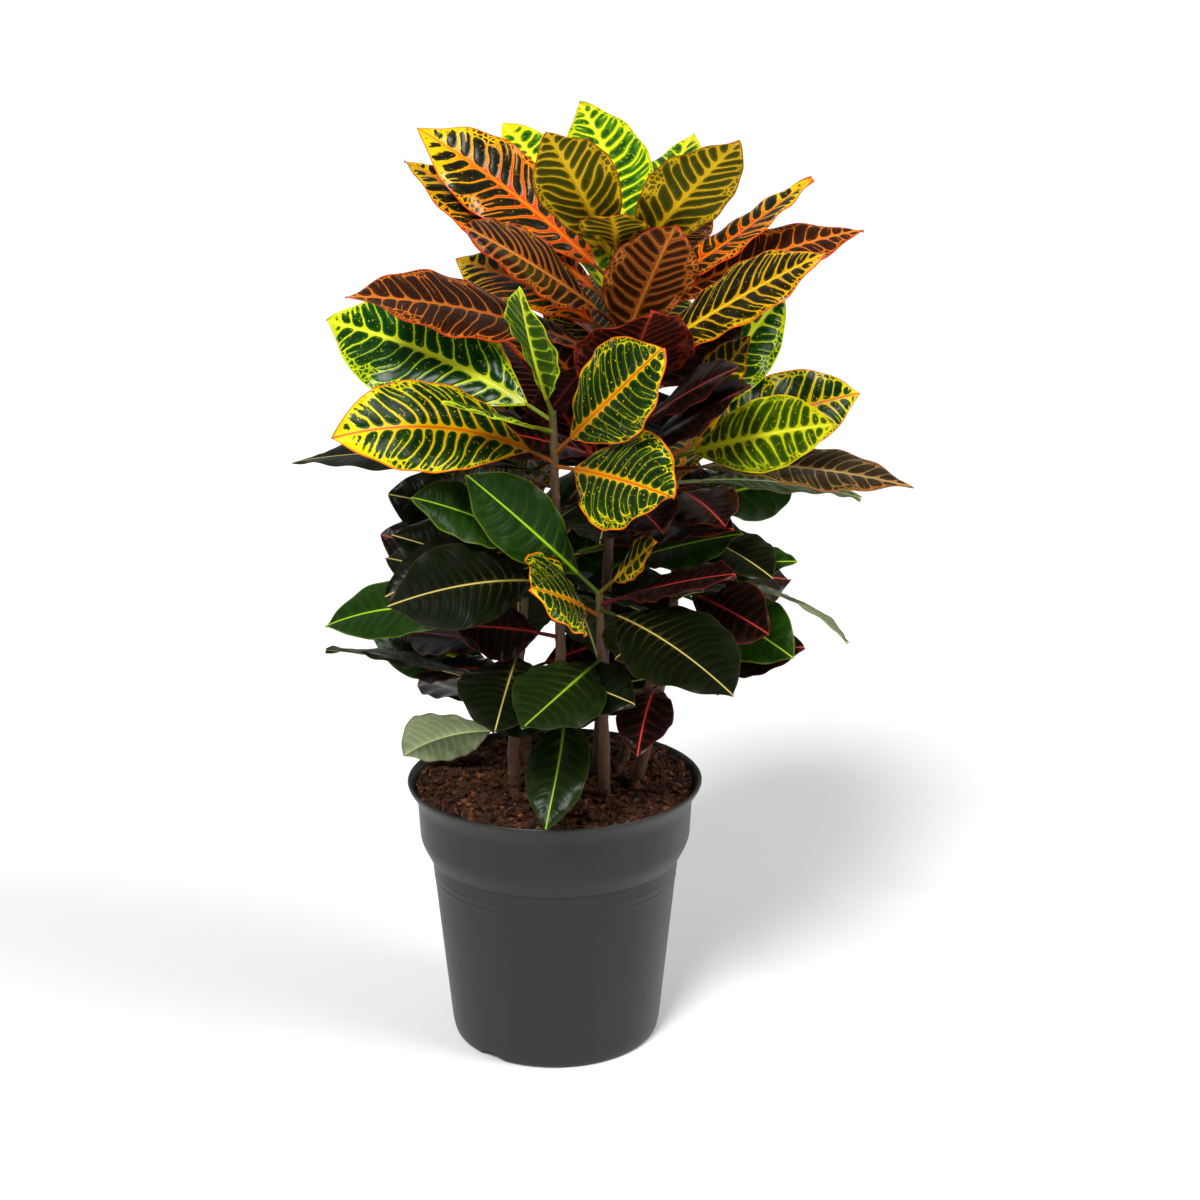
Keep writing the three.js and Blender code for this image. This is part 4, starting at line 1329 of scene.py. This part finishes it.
def weave(name, midrib, leaf, seed, maps, top, under):
    rows, columns = maps[0].shape[0], maps[0].shape[1] - 1
    u, v, along, signed, across, edge, phase = (m.ravel() for m in maps)
    count = rows * (columns + 1)
    stalk_points, stalk_faces, ends = stalk(midrib, leaf, 2 * count)
    points = np.vstack([top.reshape(-1, 3), under.reshape(-1, 3), stalk_points])
    points = keep_inside(points, midrib[0])
    upper = grid_faces(rows, columns, 0, False)
    lower = grid_faces(rows, columns, count, True)
    rim = rim_of(rows, columns)
    following = np.roll(rim, -1)
    edge_faces = np.stack([following, rim, rim + count, following + count], -1)
    quads = [tuple(q) for q in np.vstack([upper, lower, edge_faces]).tolist()]
    faces = quads + stalk_faces + ends
    mesh = bpy.data.meshes.new(name)
    mesh.from_pydata((points * MM).tolist(), [], faces)

    def store(label, *parts):
        """Keep three numbers on each point. A part is one number: upper face, lower face and stalk."""
        numbers = [
            np.concatenate([upper_part, lower_part, np.full(len(stalk_points), stalk_part)])
            for upper_part, lower_part, stalk_part in parts]
        layer = mesh.attributes.new(label, "FLOAT_VECTOR", "POINT")
        layer.data.foreach_set("vector", np.stack(numbers, -1).astype(np.float32).ravel())

    apart = FLAT_APART * seed
    store("leaf_place", (u, u, 0), (v, v, 0), (np.zeros(count), np.ones(count), 2))
    store("leaf_measure", (phase, phase, 0), (across, across, 0), (edge, edge, FAR_FROM_EDGE))
    store("leaf_flat", (along, along, 0), (signed, signed, 0), (np.full(count, apart),) * 2 + (apart,))
    lay_out(mesh, leaf, along, signed, len(upper), len(edge_faces), len(stalk_faces))
    mesh.shade_smooth()
    mesh.set_sharp_from_angle(angle=LEAF_SMOOTH_UP_TO)
    return mesh


print("each point of a leaf keeps nine numbers for its paint")

# %% [markdown]
# A leaf also gets a flat map, so that its paint can be stored in a picture when the leaf is used elsewhere.
# The leaf is nearly flat already, so its map is its own outline, and nothing needs to be unwrapped by
# hand: the upper face on the left, the lower face on the right, and strips for the rim and the stalk above.

# %% The flat map of a leaf
MAP_MIDDLE = 0.235
MAP_HALF_WIDTH = 0.225
MAP_TO_LOWER = 0.475
MAP_FOOT = 0.015
MAP_LENGTH = 0.9
STRIP_START = 0.02
RIM_STRIP = (0.94, 0.955)
STALK_STRIP = 0.966
STALK_RING_HEIGHT = 0.0025
END_SPOT = 0.97


def strip_place(share):
    return STRIP_START + MAP_LENGTH * share


def lay_out(mesh, leaf, along, signed, grid, rim, stalk_count):
    """The flat map: two leaf outlines, a strip for the rim and one for the stalk."""
    length, width = leaf[3:5]
    x = MAP_MIDDLE + MAP_HALF_WIDTH * signed / (width / 2)
    y = MAP_FOOT + MAP_LENGTH * along / (length - PETIOLE_LENGTH)
    flat = np.stack([np.concatenate([x, x + MAP_TO_LOWER]), np.concatenate([y, y])], -1)
    corner = np.zeros(len(mesh.loops), np.int32)
    mesh.loops.foreach_get("vertex_index", corner)
    uv = np.full((len(corner), 2), END_SPOT)
    faces = 2 * grid
    uv[:4 * faces] = flat[corner[:4 * faces]]
    k = np.arange(rim)
    a, b = strip_place(k / rim), strip_place((k + 1) / rim)
    heights = np.tile([RIM_STRIP[0]] * 2 + [RIM_STRIP[1]] * 2, (rim, 1))
    uv[4 * faces:4 * (faces + rim)] = np.stack([np.stack([b, a, a, b], -1), heights], -1).reshape(-1, 2)
    start = 4 * (faces + rim)
    for i in range(stalk_count):
        row, side = divmod(i, STALK_SIDES)
        a, b = strip_place(side / STALK_SIDES), strip_place((side + 1) / STALK_SIDES)
        low, high = STALK_STRIP + STALK_RING_HEIGHT * row, STALK_STRIP + STALK_RING_HEIGHT * (row + 1)
        uv[start + 4 * i:start + 4 * i + 4] = ((a, low), (b, low), (b, high), (a, high))
    layer = mesh.uv_layers.new(name="OFBake")
    layer.data.foreach_set("uv", uv.astype(np.float32).ravel())


print("the rim's strip of the map is", round(RIM_STRIP[1] - RIM_STRIP[0], 3), "of the map high")

# %% [markdown]
# ### The paint of a leaf
# No two croton leaves are alike, but they share one plan. Between the side veins lie long dark cells with
# round ends. The veins fork round those ends and run into a fine net along the margin. Young leaves are
# green and yellow, and older ones turn orange, red and nearly black.
#
# An image of a leaf would be quicker, but it would repeat. Here the pattern is worked out: the distance
# from a point to the edge of its cell decides between the cell's colour and the vein's colour. A look
# is then only a list of colours and a few amounts. In millimetres, spacing is the way from one side vein
# to the next, thick is half a vein's width, line is how wide the light line beside its deeper band is, and
# rib is half the midrib's width. The others are shares: how strong the band, the net and the specks are,
# whether veins fork, and how far along the leaf its tip begins. A tip beyond the leaf's end is none.

# %% The looks
LOOKS = {
    "lemon": {
        "cell": "#143c0a", "cell_edge": "#4f8a10", "vein": "#dce00e", "vein_out": "#d2da10",
        "vein_core": "#e0e41c", "midrib": "#f0ee20", "core": "#f6f05a", "margin": "#d8c40e",
        "tip": "#e2de0e", "under_cell": "#5c7412", "under_vein": "#d6cc14", "stalk": "#a0a62c",
        "spacing": 9.0, "thick": 0.8, "line": 0.6, "band": 0.6, "forks": 1, "net": 1.0, "tip_from": 0.88,
        "speckle": 0.12, "rib": 1.1,
    },
    "sunset": {
        "cell": "#12130a", "cell_edge": "#302a08", "vein": "#f2860c", "vein_out": "#ee8a0c",
        "vein_core": "#d4460e", "midrib": "#ea5c0e", "core": "#f4a01c", "margin": "#dc360e",
        "tip": "#ecd008", "under_cell": "#5c2c0a", "under_vein": "#cc5c10", "stalk": "#a8481a",
        "spacing": 11.0, "thick": 1.0, "line": 0.7, "band": 1.0, "forks": 1, "net": 1.0, "tip_from": 0.88,
        "speckle": 0.08, "rib": 1.1,
    },
    "olive": {
        "cell": "#20320a", "cell_edge": "#46480c", "vein": "#eac410", "vein_out": "#dcb010",
        "vein_core": "#dca418", "midrib": "#f4c018", "core": "#f4d636", "margin": "#9a3210",
        # Painted light: olive's lower face, its veins most of all, is painted brighter than its upper face,
        # because little lamp light reaches it.
        "tip": "#d4a414", "under_cell": "#484c0f", "under_vein": "#ffd01c", "stalk": "#9c8224",
        "spacing": 9.4, "thick": 0.72, "line": 0.5, "band": 0.3, "forks": 0, "net": 1.0, "tip_from": 1.0,
        "speckle": 0.03, "rib": 1.0,
    },
    "rust": {
        "cell": "#221006", "cell_edge": "#42200c", "vein": "#de8e24", "vein_out": "#cc7820",
        "vein_core": "#ac4c1c", "midrib": "#dc8430", "core": "#e09a3c", "margin": "#ae2612",
        # Painted light: rust's lower face, its veins most of all, is painted brighter than its upper face,
        # because little lamp light reaches it.
        "tip": "#b85e22", "under_cell": "#3e1b0b", "under_vein": "#ff9a3c", "stalk": "#84421a",
        "spacing": 8.4, "thick": 0.72, "line": 0.3, "band": 0.9, "forks": 0, "net": 1.0, "tip_from": 1.0,
        "speckle": 0.02, "rib": 0.9,
    },
    "bronze": {
        "cell": "#2a1206", "cell_edge": "#441f0a", "vein": "#da7c22", "vein_out": "#d2701c",
        "vein_core": "#b8481a", "midrib": "#d06018", "core": "#e08a2c", "margin": "#b83214",
        "tip": "#d87020", "under_cell": "#34170c", "under_vein": "#a8561e", "stalk": "#88381a",
        "spacing": 9.6, "thick": 0.3, "line": 0.3, "band": 0.3, "forks": 1, "net": 1.0, "tip_from": 0.96,
        "speckle": 0.03, "rib": 0.8,
    },
    "maroon": {
        "cell": "#220b07", "cell_edge": "#32110b", "vein": "#9a3820", "vein_out": "#82301e",
        "vein_core": "#b24428", "midrib": "#ac3624", "core": "#c65840", "margin": "#a42818",
        "tip": "#7a2418", "under_cell": "#34120d", "under_vein": "#9a3620", "stalk": "#742418",
        "spacing": 7.5, "thick": 0.3, "line": 1, "band": 0.0, "forks": 0, "net": 0.9, "tip_from": 1.3,
        "speckle": 0.0, "rib": 0.8,
    },
    "gold": {
        "cell": "#0e240a", "cell_edge": "#244a0c", "vein": "#e8c60c", "vein_out": "#e2d00e",
        "vein_core": "#e8980c", "midrib": "#e2920e", "core": "#e04c0c", "margin": "#e86210",
        "tip": "#e8d80c", "under_cell": "#2c3c10", "under_vein": "#b89c1c", "stalk": "#b8681e",
        "spacing": 9.6, "thick": 0.66, "line": 0.6, "band": 0.4, "forks": 1, "net": 1.0, "tip_from": 0.88,
        "speckle": 0.14, "rib": 1.15,
    },
    "green": {
        "cell": "#0e320a", "cell_edge": "#1e560c", "vein": "#cfe010", "vein_out": "#c0d810",
        "vein_core": "#e6f02c", "midrib": "#e4f022", "core": "#f2f45e", "margin": "#c0dc12",
        "tip": "#d6e010", "under_cell": "#2c4c10", "under_vein": "#8caa1c", "stalk": "#98b028",
        "spacing": 11.5, "thick": 0.5, "line": 0.5, "band": 0.5, "forks": 1, "net": 1.0, "tip_from": 0.92,
        "speckle": 0.1, "rib": 1.2,
    },
    "ember": {
        "cell": "#151408", "cell_edge": "#343208", "vein": "#e0ac0e", "vein_out": "#e4b40e",
        "vein_core": "#e0880e", "midrib": "#f0c216", "core": "#f6da36", "margin": "#d85014",
        "tip": "#e6ae0e", "under_cell": "#42220e", "under_vein": "#b86e1c", "stalk": "#9c5c1a",
        "spacing": 9.5, "thick": 0.62, "line": 0.5, "band": 0.6, "forks": 1, "net": 1.0, "tip_from": 0.86,
        "speckle": 0.06, "rib": 1.0,
    },
    "plain": {
        "cell": "#193307", "cell_edge": "#1d3b08", "vein": "#32580a", "vein_out": "#284a09",
        "vein_core": "#3c700d", "midrib": "#94c018", "core": "#bee034", "margin": "#5a6c14",
        "tip": "#2a620e", "under_cell": "#3c6020", "under_vein": "#78a040", "stalk": "#668a26",
        "spacing": 9.5, "thick": 0.36, "line": 1, "band": 0.0, "forks": 0, "net": 0.2, "tip_from": 1.3,
        "speckle": 0.0, "rib": 0.7,
    },
    "dark": {
        "cell": "#0a1004", "cell_edge": "#101806", "vein": "#1b260b", "vein_out": "#141e08",
        "vein_core": "#1f2e0d", "midrib": "#c8b050", "core": "#dcc870", "margin": "#2c200e",
        "tip": "#1c2a0c", "under_cell": "#1c2410", "under_vein": "#46562a", "stalk": "#545020",
        "spacing": 9.0, "thick": 0.36, "line": 1, "band": 0.0, "forks": 0, "net": 0.14, "tip_from": 1.3,
        "speckle": 0.0, "rib": 0.42,
    },
    "wine": {
        "cell": "#0e0805", "cell_edge": "#170d07", "vein": "#561614", "vein_out": "#36100c",
        "vein_core": "#6a1a1a", "midrib": "#a42622", "core": "#d24a3c", "margin": "#521814",
        "tip": "#3a140e", "under_cell": "#2c1812", "under_vein": "#7c322a", "stalk": "#74222a",
        "spacing": 8.5, "thick": 0.36, "line": 1, "band": 0.0, "forks": 0, "net": 0.4, "tip_from": 1.3,
        "speckle": 0.03, "rib": 0.6,
    },
    "pale": {
        "cell": "#2c3c1c", "cell_edge": "#3c4e24", "vein": "#6c8040", "vein_out": "#5c6e38",
        "vein_core": "#6c8040", "midrib": "#b4c474", "core": "#c4d088", "margin": "#6c5c3c",
        "tip": "#5c6634", "under_cell": "#85946a", "under_vein": "#a9b886", "stalk": "#8a9a58",
        "spacing": 8.0, "thick": 0.4, "line": 1, "band": 0.0, "forks": 0, "net": 0.45, "tip_from": 1.3,
        "speckle": 0.0, "rib": 0.5,
    },
}
LOOKS["lined"] = dict(LOOKS["gold"], spacing=7.8, thick=0.14, tip_from=0.95)
LOOKS["lime"] = dict(
    LOOKS["lemon"], cell="#284408", cell_edge="#4c640c", vein="#b0b812", vein_out="#a0ac10")
LOOKS["deep"] = dict(
    LOOKS["plain"], cell="#162208", cell_edge="#1c2c0a", vein="#2a3e0e", vein_out="#20320b",
    midrib="#7ea022", core="#a0c830", margin="#2a3410")
LOOKS["dusk"] = dict(
    LOOKS["bronze"], cell="#2a2010", cell_edge="#382b16", vein="#867444", vein_out="#766638",
    midrib="#9c8c50", core="#b0a060", margin="#8c5a2a", under_cell="#2e2214", under_vein="#7c6c40")
print(len(LOOKS), "looks")

# %% [markdown]
# The paint follows the same order as the eye does: first the cell that a point lies in, then the net along
# the margin, the tip where the cells break up, and the small yellow specks. The colours, the midrib, the
# thin line of the margin and the stalk come last. Each of these steps is a function of its own.
#
# All of them ask the same things of a point: how far along the leaf it is, how far from the midrib and
# from the margin, and which face it is on. The mesh stored the answers, and this graph starts with them.

# %% What a point of a leaf knows
ON_STALK = 1.5


class LeafGraph(Graph):
    """A material that starts with what each point of a leaf knows about its place."""

    def __init__(self, name):
        super().__init__("croton_leaf_" + name)
        self.share, self.side, kind = self.split(self.attribute("leaf_place").outputs["Vector"])
        self.phase, self.across, self.edge = self.split(self.attribute("leaf_measure").outputs["Vector"])
        self.flat = self.attribute("leaf_flat").outputs["Vector"]
        self.own = self.split(self.flat)[2]
        self.under = self.least(kind, 1.0)
        self.on_stalk = self.sum("GREATER_THAN", kind, ON_STALK)
        self.half = self.plus(self.across, self.edge)
        self.out = self.sum("DIVIDE", self.across, self.most(self.half, 1.0))
        self.soft = self.noise(self.flat, 0.06, 2.0)
        self.mottle = self.noise(self.flat, 0.3, 3.0, 0.6)


trial = LeafGraph("trial")
print("a leaf's material starts with", len(trial.tree.nodes), "nodes")
bpy.data.materials.remove(trial.material)

# %% [markdown]
# The flesh between two side veins is one long dark cell with round ends. It could be drawn as an image of
# a cell, but a rectangle with round corners has a simple formula for its distance, and a distance can be
# used again: for the vein's two colours, for a soft edge, and for the relief.
#
# No two cells are alike. So each one throws dice of its own, which decide how thick its veins are, how
# far out it reaches, and where a thin vein forks into it.

# %% Cells between the side veins
CELL_CORNER = 3.4
CORNER_SHARE = 0.45
CELL_WOBBLE = 0.4
VEIN_UNEVEN = 2.6
VEIN_RAGGED = 0.6
CELL_SHORTEST = 0.46
CELL_LENGTH_VARIES = 0.82
CELL_LONGEST = 0.97
CELL_FROM_RIB = 0.35


def round_cell(g, x, y, half_x, low, high, corner):
    """Signed distance to a cell with round corners, below zero inside it, in millimetres."""
    middle = g.times(g.plus(low, high), 0.5)
    half_y = g.times(g.minus(high, low), 0.5)
    dx = g.most(g.minus(x, g.minus(half_x, corner)), 0.0)
    dy = g.most(g.minus(g.sum("ABSOLUTE", g.minus(y, middle)), g.minus(half_y, corner)), 0.0)
    reach = g.sum("SQRT", g.plus(g.times(dx, dx), g.times(dy, dy)))
    inside = g.most(g.minus(x, half_x), g.minus(y, high))
    return g.most(g.minus(reach, corner), inside)


def cell_dice(g, place, upper_half):
    """Three random numbers that stay the same all over one cell."""
    spot = g.add("CombineXYZ")
    g.feed(spot.inputs[0], g.times(g.sum("FLOOR", place), 3.7))
    g.feed(spot.inputs[1], g.times(upper_half, 9.1))
    g.feed(spot.inputs[2], g.own)
    return g.split(g.noise(spot.outputs[0], 1.0, 0.0, output="Color"))


def looseness(look):
    """How ragged the edge of a vein is. Thick veins are drawn with a looser hand."""
    return min(1.0, 0.35 + look["thick"])


def vein_cells(g, look):
    """The distance to the cell's edge, how far out the cell reaches, and half the midrib's width."""
    spacing, thick = look["spacing"], look["thick"]
    upper_half = g.sum("GREATER_THAN", g.side, 0.0)
    place = g.plus(g.plus(g.phase, g.times(upper_half, SIDE_OFFSET)), g.sway(g.soft, CELL_WOBBLE))
    beat = g.sum("FRACT", place)
    dice_a, dice_b, dice_c = cell_dice(g, place, upper_half)
    x = g.times(g.sum("ABSOLUTE", g.minus(beat, 0.5)), spacing)
    vein_half = g.times(g.between(g.out, 1.5, 0.7), thick)
    vein_half = g.plus(vein_half, g.sway(g.mottle, VEIN_RAGGED * looseness(look)))
    vein_half = g.plus(vein_half, g.sway(dice_c, VEIN_UNEVEN * thick))
    half_x = g.minus(spacing / 2, vein_half)
    rib = g.times(g.between(g.share, 1.7, 0.5), look["rib"])
    low = g.plus(rib, CELL_FROM_RIB)
    reach = g.least(g.plus(CELL_SHORTEST, g.times(dice_a, CELL_LENGTH_VARIES)), CELL_LONGEST)
    high = g.times(g.half, reach)
    corner = min(CELL_CORNER, CORNER_SHARE * spacing)
    cell = round_cell(g, x, g.across, half_x, low, high, corner)
    if look["forks"]:
        fork_x = g.minus(beat, g.plus(0.2, g.times(dice_c, 0.6)))
        fork_x = g.times(g.sum("ABSOLUTE", fork_x), spacing)
        fork_start = g.times(high, g.plus(-0.15, g.times(dice_b, 2.0)))
        fork_end = g.times(g.minus(g.across, fork_start), 0.3)
        cell = g.most(cell, g.least(g.minus(0.5 * thick, fork_x), fork_end))
    return cell, high, rib


print("a cell fills between", CELL_SHORTEST, "and", CELL_LONGEST, "of the half blade's width")

# %% [markdown]
# Towards the margin the veins split and join again, so a net of small cells lies there. A Voronoi texture
# is such a net, and its distance to the edge is the distance to the nearest vein. It is laid only beyond
# the ends of the long cells, and a thin line along the margin stays free of it.

# %% The net along the margin
NET_SIZE = 4.2
NET_LINE = 0.12
NET_BEYOND = 0.5
CLEAR_MARGIN = 0.9
EDGE_RAGGED = 0.75


def margin_net(g, look, cell, high):
    """The distance to the nearest edge of any cell, long or small, with a ragged line."""
    net = g.cells(g.flat, 1 / NET_SIZE, "DISTANCE_TO_EDGE")["Distance"]
    net = g.minus(0.36 * look["thick"] + NET_LINE, g.times(net, NET_SIZE))
    net = g.most(net, g.minus(g.plus(high, NET_BEYOND), g.across))
    net = g.most(net, g.minus(CLEAR_MARGIN, g.edge))
    ragged = g.noise(g.flat, 0.9, 2.0, 0.6)
    return g.plus(g.least(cell, net), g.sway(ragged, EDGE_RAGGED * looseness(look)))


print("the small cells of the net are about", NET_SIZE, "mm wide")

# %% [markdown]
# At the tip of a young leaf the dark cells crumble into specks and the ground between them turns yellow.
# The crumbs are a noise that is added to the distance, so the cells' own edges break up. Old dark leaves
# have no such tip, and their graphs leave the crumbs out.

# %% The tip
NO_TIP = 1.3
TIP_CRUMBS = 12.0
TIP_OPENS = 3.2


def crumbled_tip(g, look, far):
    """The distance with the cells broken up at the tip, and how much the tip's colour shows."""
    toward_tip = g.plus(g.share, g.times(g.out, 0.1))
    toward_tip = g.plus(toward_tip, g.sway(g.mottle, 0.2))
    toward_tip = g.plus(toward_tip, g.times(g.sum("SINE", g.own), 0.07))
    glow = g.step(toward_tip, look["tip_from"] - 0.25, look["tip_from"] + 0.15)
    if look["tip_from"] < NO_TIP:
        tip = g.step(toward_tip, look["tip_from"], look["tip_from"] + 0.3)
        crumbs = g.sway(g.noise(g.flat, 0.8, 3.0, 0.7), TIP_CRUMBS)
        far = g.plus(far, g.times(tip, g.plus(crumbs, TIP_OPENS)))
    return far, glow


print(sum(look["tip_from"] < NO_TIP for look in LOOKS.values()), "looks have a tip that crumbles")

# %% [markdown]
# Here and there a cell holds yellow specks and thin twigs, as if the brush had slipped. Both are again
# Voronoi textures: a dot at the middle of a few of its cells is a speck, and its edges are twigs.

# %% Specks and twigs
SPECK_SCALE = 0.4
TWIG_SCALE = 0.17
TWIG_STRENGTH = 0.6


def veined_share(g, look, far):
    """Where the vein's colour shows: on the veins, and on the specks and twigs inside the cells."""
    specks = g.cells(g.flat, SPECK_SCALE)
    chosen = g.step(g.split(specks["Color"])[0], 1 - look["speckle"], 1.02 - look["speckle"])
    speck = g.times(g.step(specks["Distance"], 0.3, 0.12), chosen)
    twigs = g.cells(g.flat, TWIG_SCALE, "DISTANCE_TO_EDGE")["Distance"]
    twig = g.times(g.step(twigs, 0.045, 0.012), g.step(g.mottle, 0.54, 0.64))
    extra = g.most(speck, g.times(twig, TWIG_STRENGTH))
    veined = g.most(g.step(far, -0.34, 0.3), g.times(extra, min(1.0, look["speckle"] * 8)))
    return g.times(veined, look["net"])


print(sum(look["speckle"] > 0 for look in LOOKS.values()), "looks have specks")

# %% [markdown]
# A cell is darkest in its middle and lighter along its edge, with a fine grain between the two. A vein has
# a light line on each side and a deeper band between them, and it takes the midrib's colour near the foot
# of the leaf. The lower face has the same pattern in duller colours, with a faint halo at the veins. The
# olive and rust looks are the exception: their lower faces are painted brighter, as painted light for
# faces that the lamps hardly reach.

# %% Colours of cells and veins
UNDER_HALO = 0.14


def cell_paint(g, look, far):
    cell = g.mix(g.step(far, -2.4, -0.2), colour(look["cell"]), colour(look["cell_edge"]))
    grain = g.step(g.noise(g.flat, 1.1, 3.0, 0.65), 0.42, 0.78)
    cell = g.mix(g.times(grain, 0.5), cell, colour(look["cell_edge"]))
    under_cell, under_vein = colour(look["under_cell"]), colour(look["under_vein"])
    halo = [c + UNDER_HALO * (v - c) for c, v in zip(under_cell, under_vein)]
    return g.mix(g.under, cell, g.mix(g.step(far, -2.4, -0.3), under_cell, halo))


def vein_paint(g, look, far, glow):
    vein = g.mix(g.step(g.out, 0.25, 0.95), colour(look["vein"]), colour(look["vein_out"]))
    foot = g.step(g.plus(g.share, g.times(g.out, 0.4)), 0.75, 0.15)
    vein = g.mix(g.times(foot, 0.85), vein, colour(look["midrib"]))
    vein = g.mix(g.under, vein, colour(look["under_vein"]))
    in_band = g.step(far, 0.6 * look["line"], 1.3 * look["line"])
    vein = g.mix(g.times(in_band, look["band"]), vein, colour(look["vein_core"]))
    return g.mix(g.times(glow, g.between(g.under, 0.9, 0.3)), vein, colour(look["tip"]))


print("a vein's halo on the lower face is", UNDER_HALO, "of the vein's colour")

# %% [markdown]
# Now the steps are put together. On top of the pattern come the line of the margin, the midrib with its
# light core, the stalk, a painted shade that darkens each leaf towards the stem, and a little unevenness
# all over. A croton leaf is waxy: its upper face is smooth and glossy, and its lower face is duller.

# %% Leaf material
PAINTED_FOOT_SHADE = 0.5
WORN = 0.2
UPPER_ROUGHNESS = (0.17, 0.28)
UNDER_ROUGHER = 0.24
PLAIN_DULLER = 0.12
LEAF_SPECULAR = 0.13
CELL_BUMP = 0.0004


def leaf_paint(name, look):
    g = LeafGraph(name)
    cell, high, rib = vein_cells(g, look)
    far, glow = crumbled_tip(g, look, margin_net(g, look, cell, high))
    base = g.mix(veined_share(g, look, far), cell_paint(g, look, far), vein_paint(g, look, far, glow))
    margin = g.step(g.plus(g.edge, g.minus(g.mottle, 0.5)), 1.3, 0.5)
    base = g.mix(g.times(margin, 0.9), base, colour(look["margin"]))
    base = g.mix(g.step(g.minus(g.across, rib), 0.25, -0.25), base, colour(look["midrib"]))
    base = g.mix(g.times(g.step(g.across, 0.7, 0.15), 0.8), base, colour(look["core"]))
    base = g.mix(g.on_stalk, base, colour(look["stalk"]))
    # Painted shade: a brown multiply darkens each leaf towards its foot, as if the crown shaded it there.
    shade = g.step(g.plus(g.share, g.times(g.mottle, 0.15)), 0.5, 0.05)
    base = g.mix(g.times(shade, PAINTED_FOOT_SHADE), base, colour("#241a10"), "MULTIPLY")
    worn = g.noise(g.flat, 0.035, 3.0)
    base = g.mix(g.times(worn, WORN), base, colour("#1c130c"), "MULTIPLY")
    smooth, rough = (r + PLAIN_DULLER * (1 - look["net"]) for r in UPPER_ROUGHNESS)
    roughness = g.plus(g.between(g.mottle, smooth, rough), g.times(g.under, UNDER_ROUGHER))
    g.bump(g.step(cell, 0.4, -1.6), 0.5 * max(0.7, look["net"]), CELL_BUMP)
    return g.finish(base, roughness, specular=LEAF_SPECULAR)


PAINTS = {name: leaf_paint(name, look) for name, look in LOOKS.items()}
print("the look named lemon takes", len(PAINTS["lemon"].node_tree.nodes), "nodes")

# %% [markdown]
# ### Grow the leaves
# A leaf of a real plant is its own piece: it grows, turns and falls alone. So each leaf here is its own
# object, and can be picked up, moved or repainted. They could all be joined into one mesh, but nothing
# would be won. The seed of a leaf comes from its number, so that every run grows the same plant.

# %% Grow the leaves
faces = 0
numbers = {}
for plant, leaf, outer in GROWN:
    number = numbers[plant["name"]] = numbers.get(plant["name"], 0) + 1
    name = f"{plant['name']}_leaf_{number:02d}"
    seed = 0.61 * number + 1.7 * len(numbers)
    spacing = LOOKS[leaf[8]]["spacing"]
    piece = link(bpy.data.objects.new(name, leaf_mesh(name, plant["axis"], leaf, seed, spacing, outer)))
    dress(piece, PAINTS[leaf[8]], plant["name"])
    faces += len(piece.data.polygons)
print(len(GROWN), "leaves with", faces, "faces")

# %% [markdown]
# ## The size of the fine model
# The fine model has to stay inside the solid one. Both boxes are printed, so that the two can be compared.

# %% Sizes and finish
SEEN_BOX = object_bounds()
for label, box in (("solid", CAD_BOX), ("fine", SEEN_BOX)):
    print(label, [round(c, 4) for corner in box for c in corner])
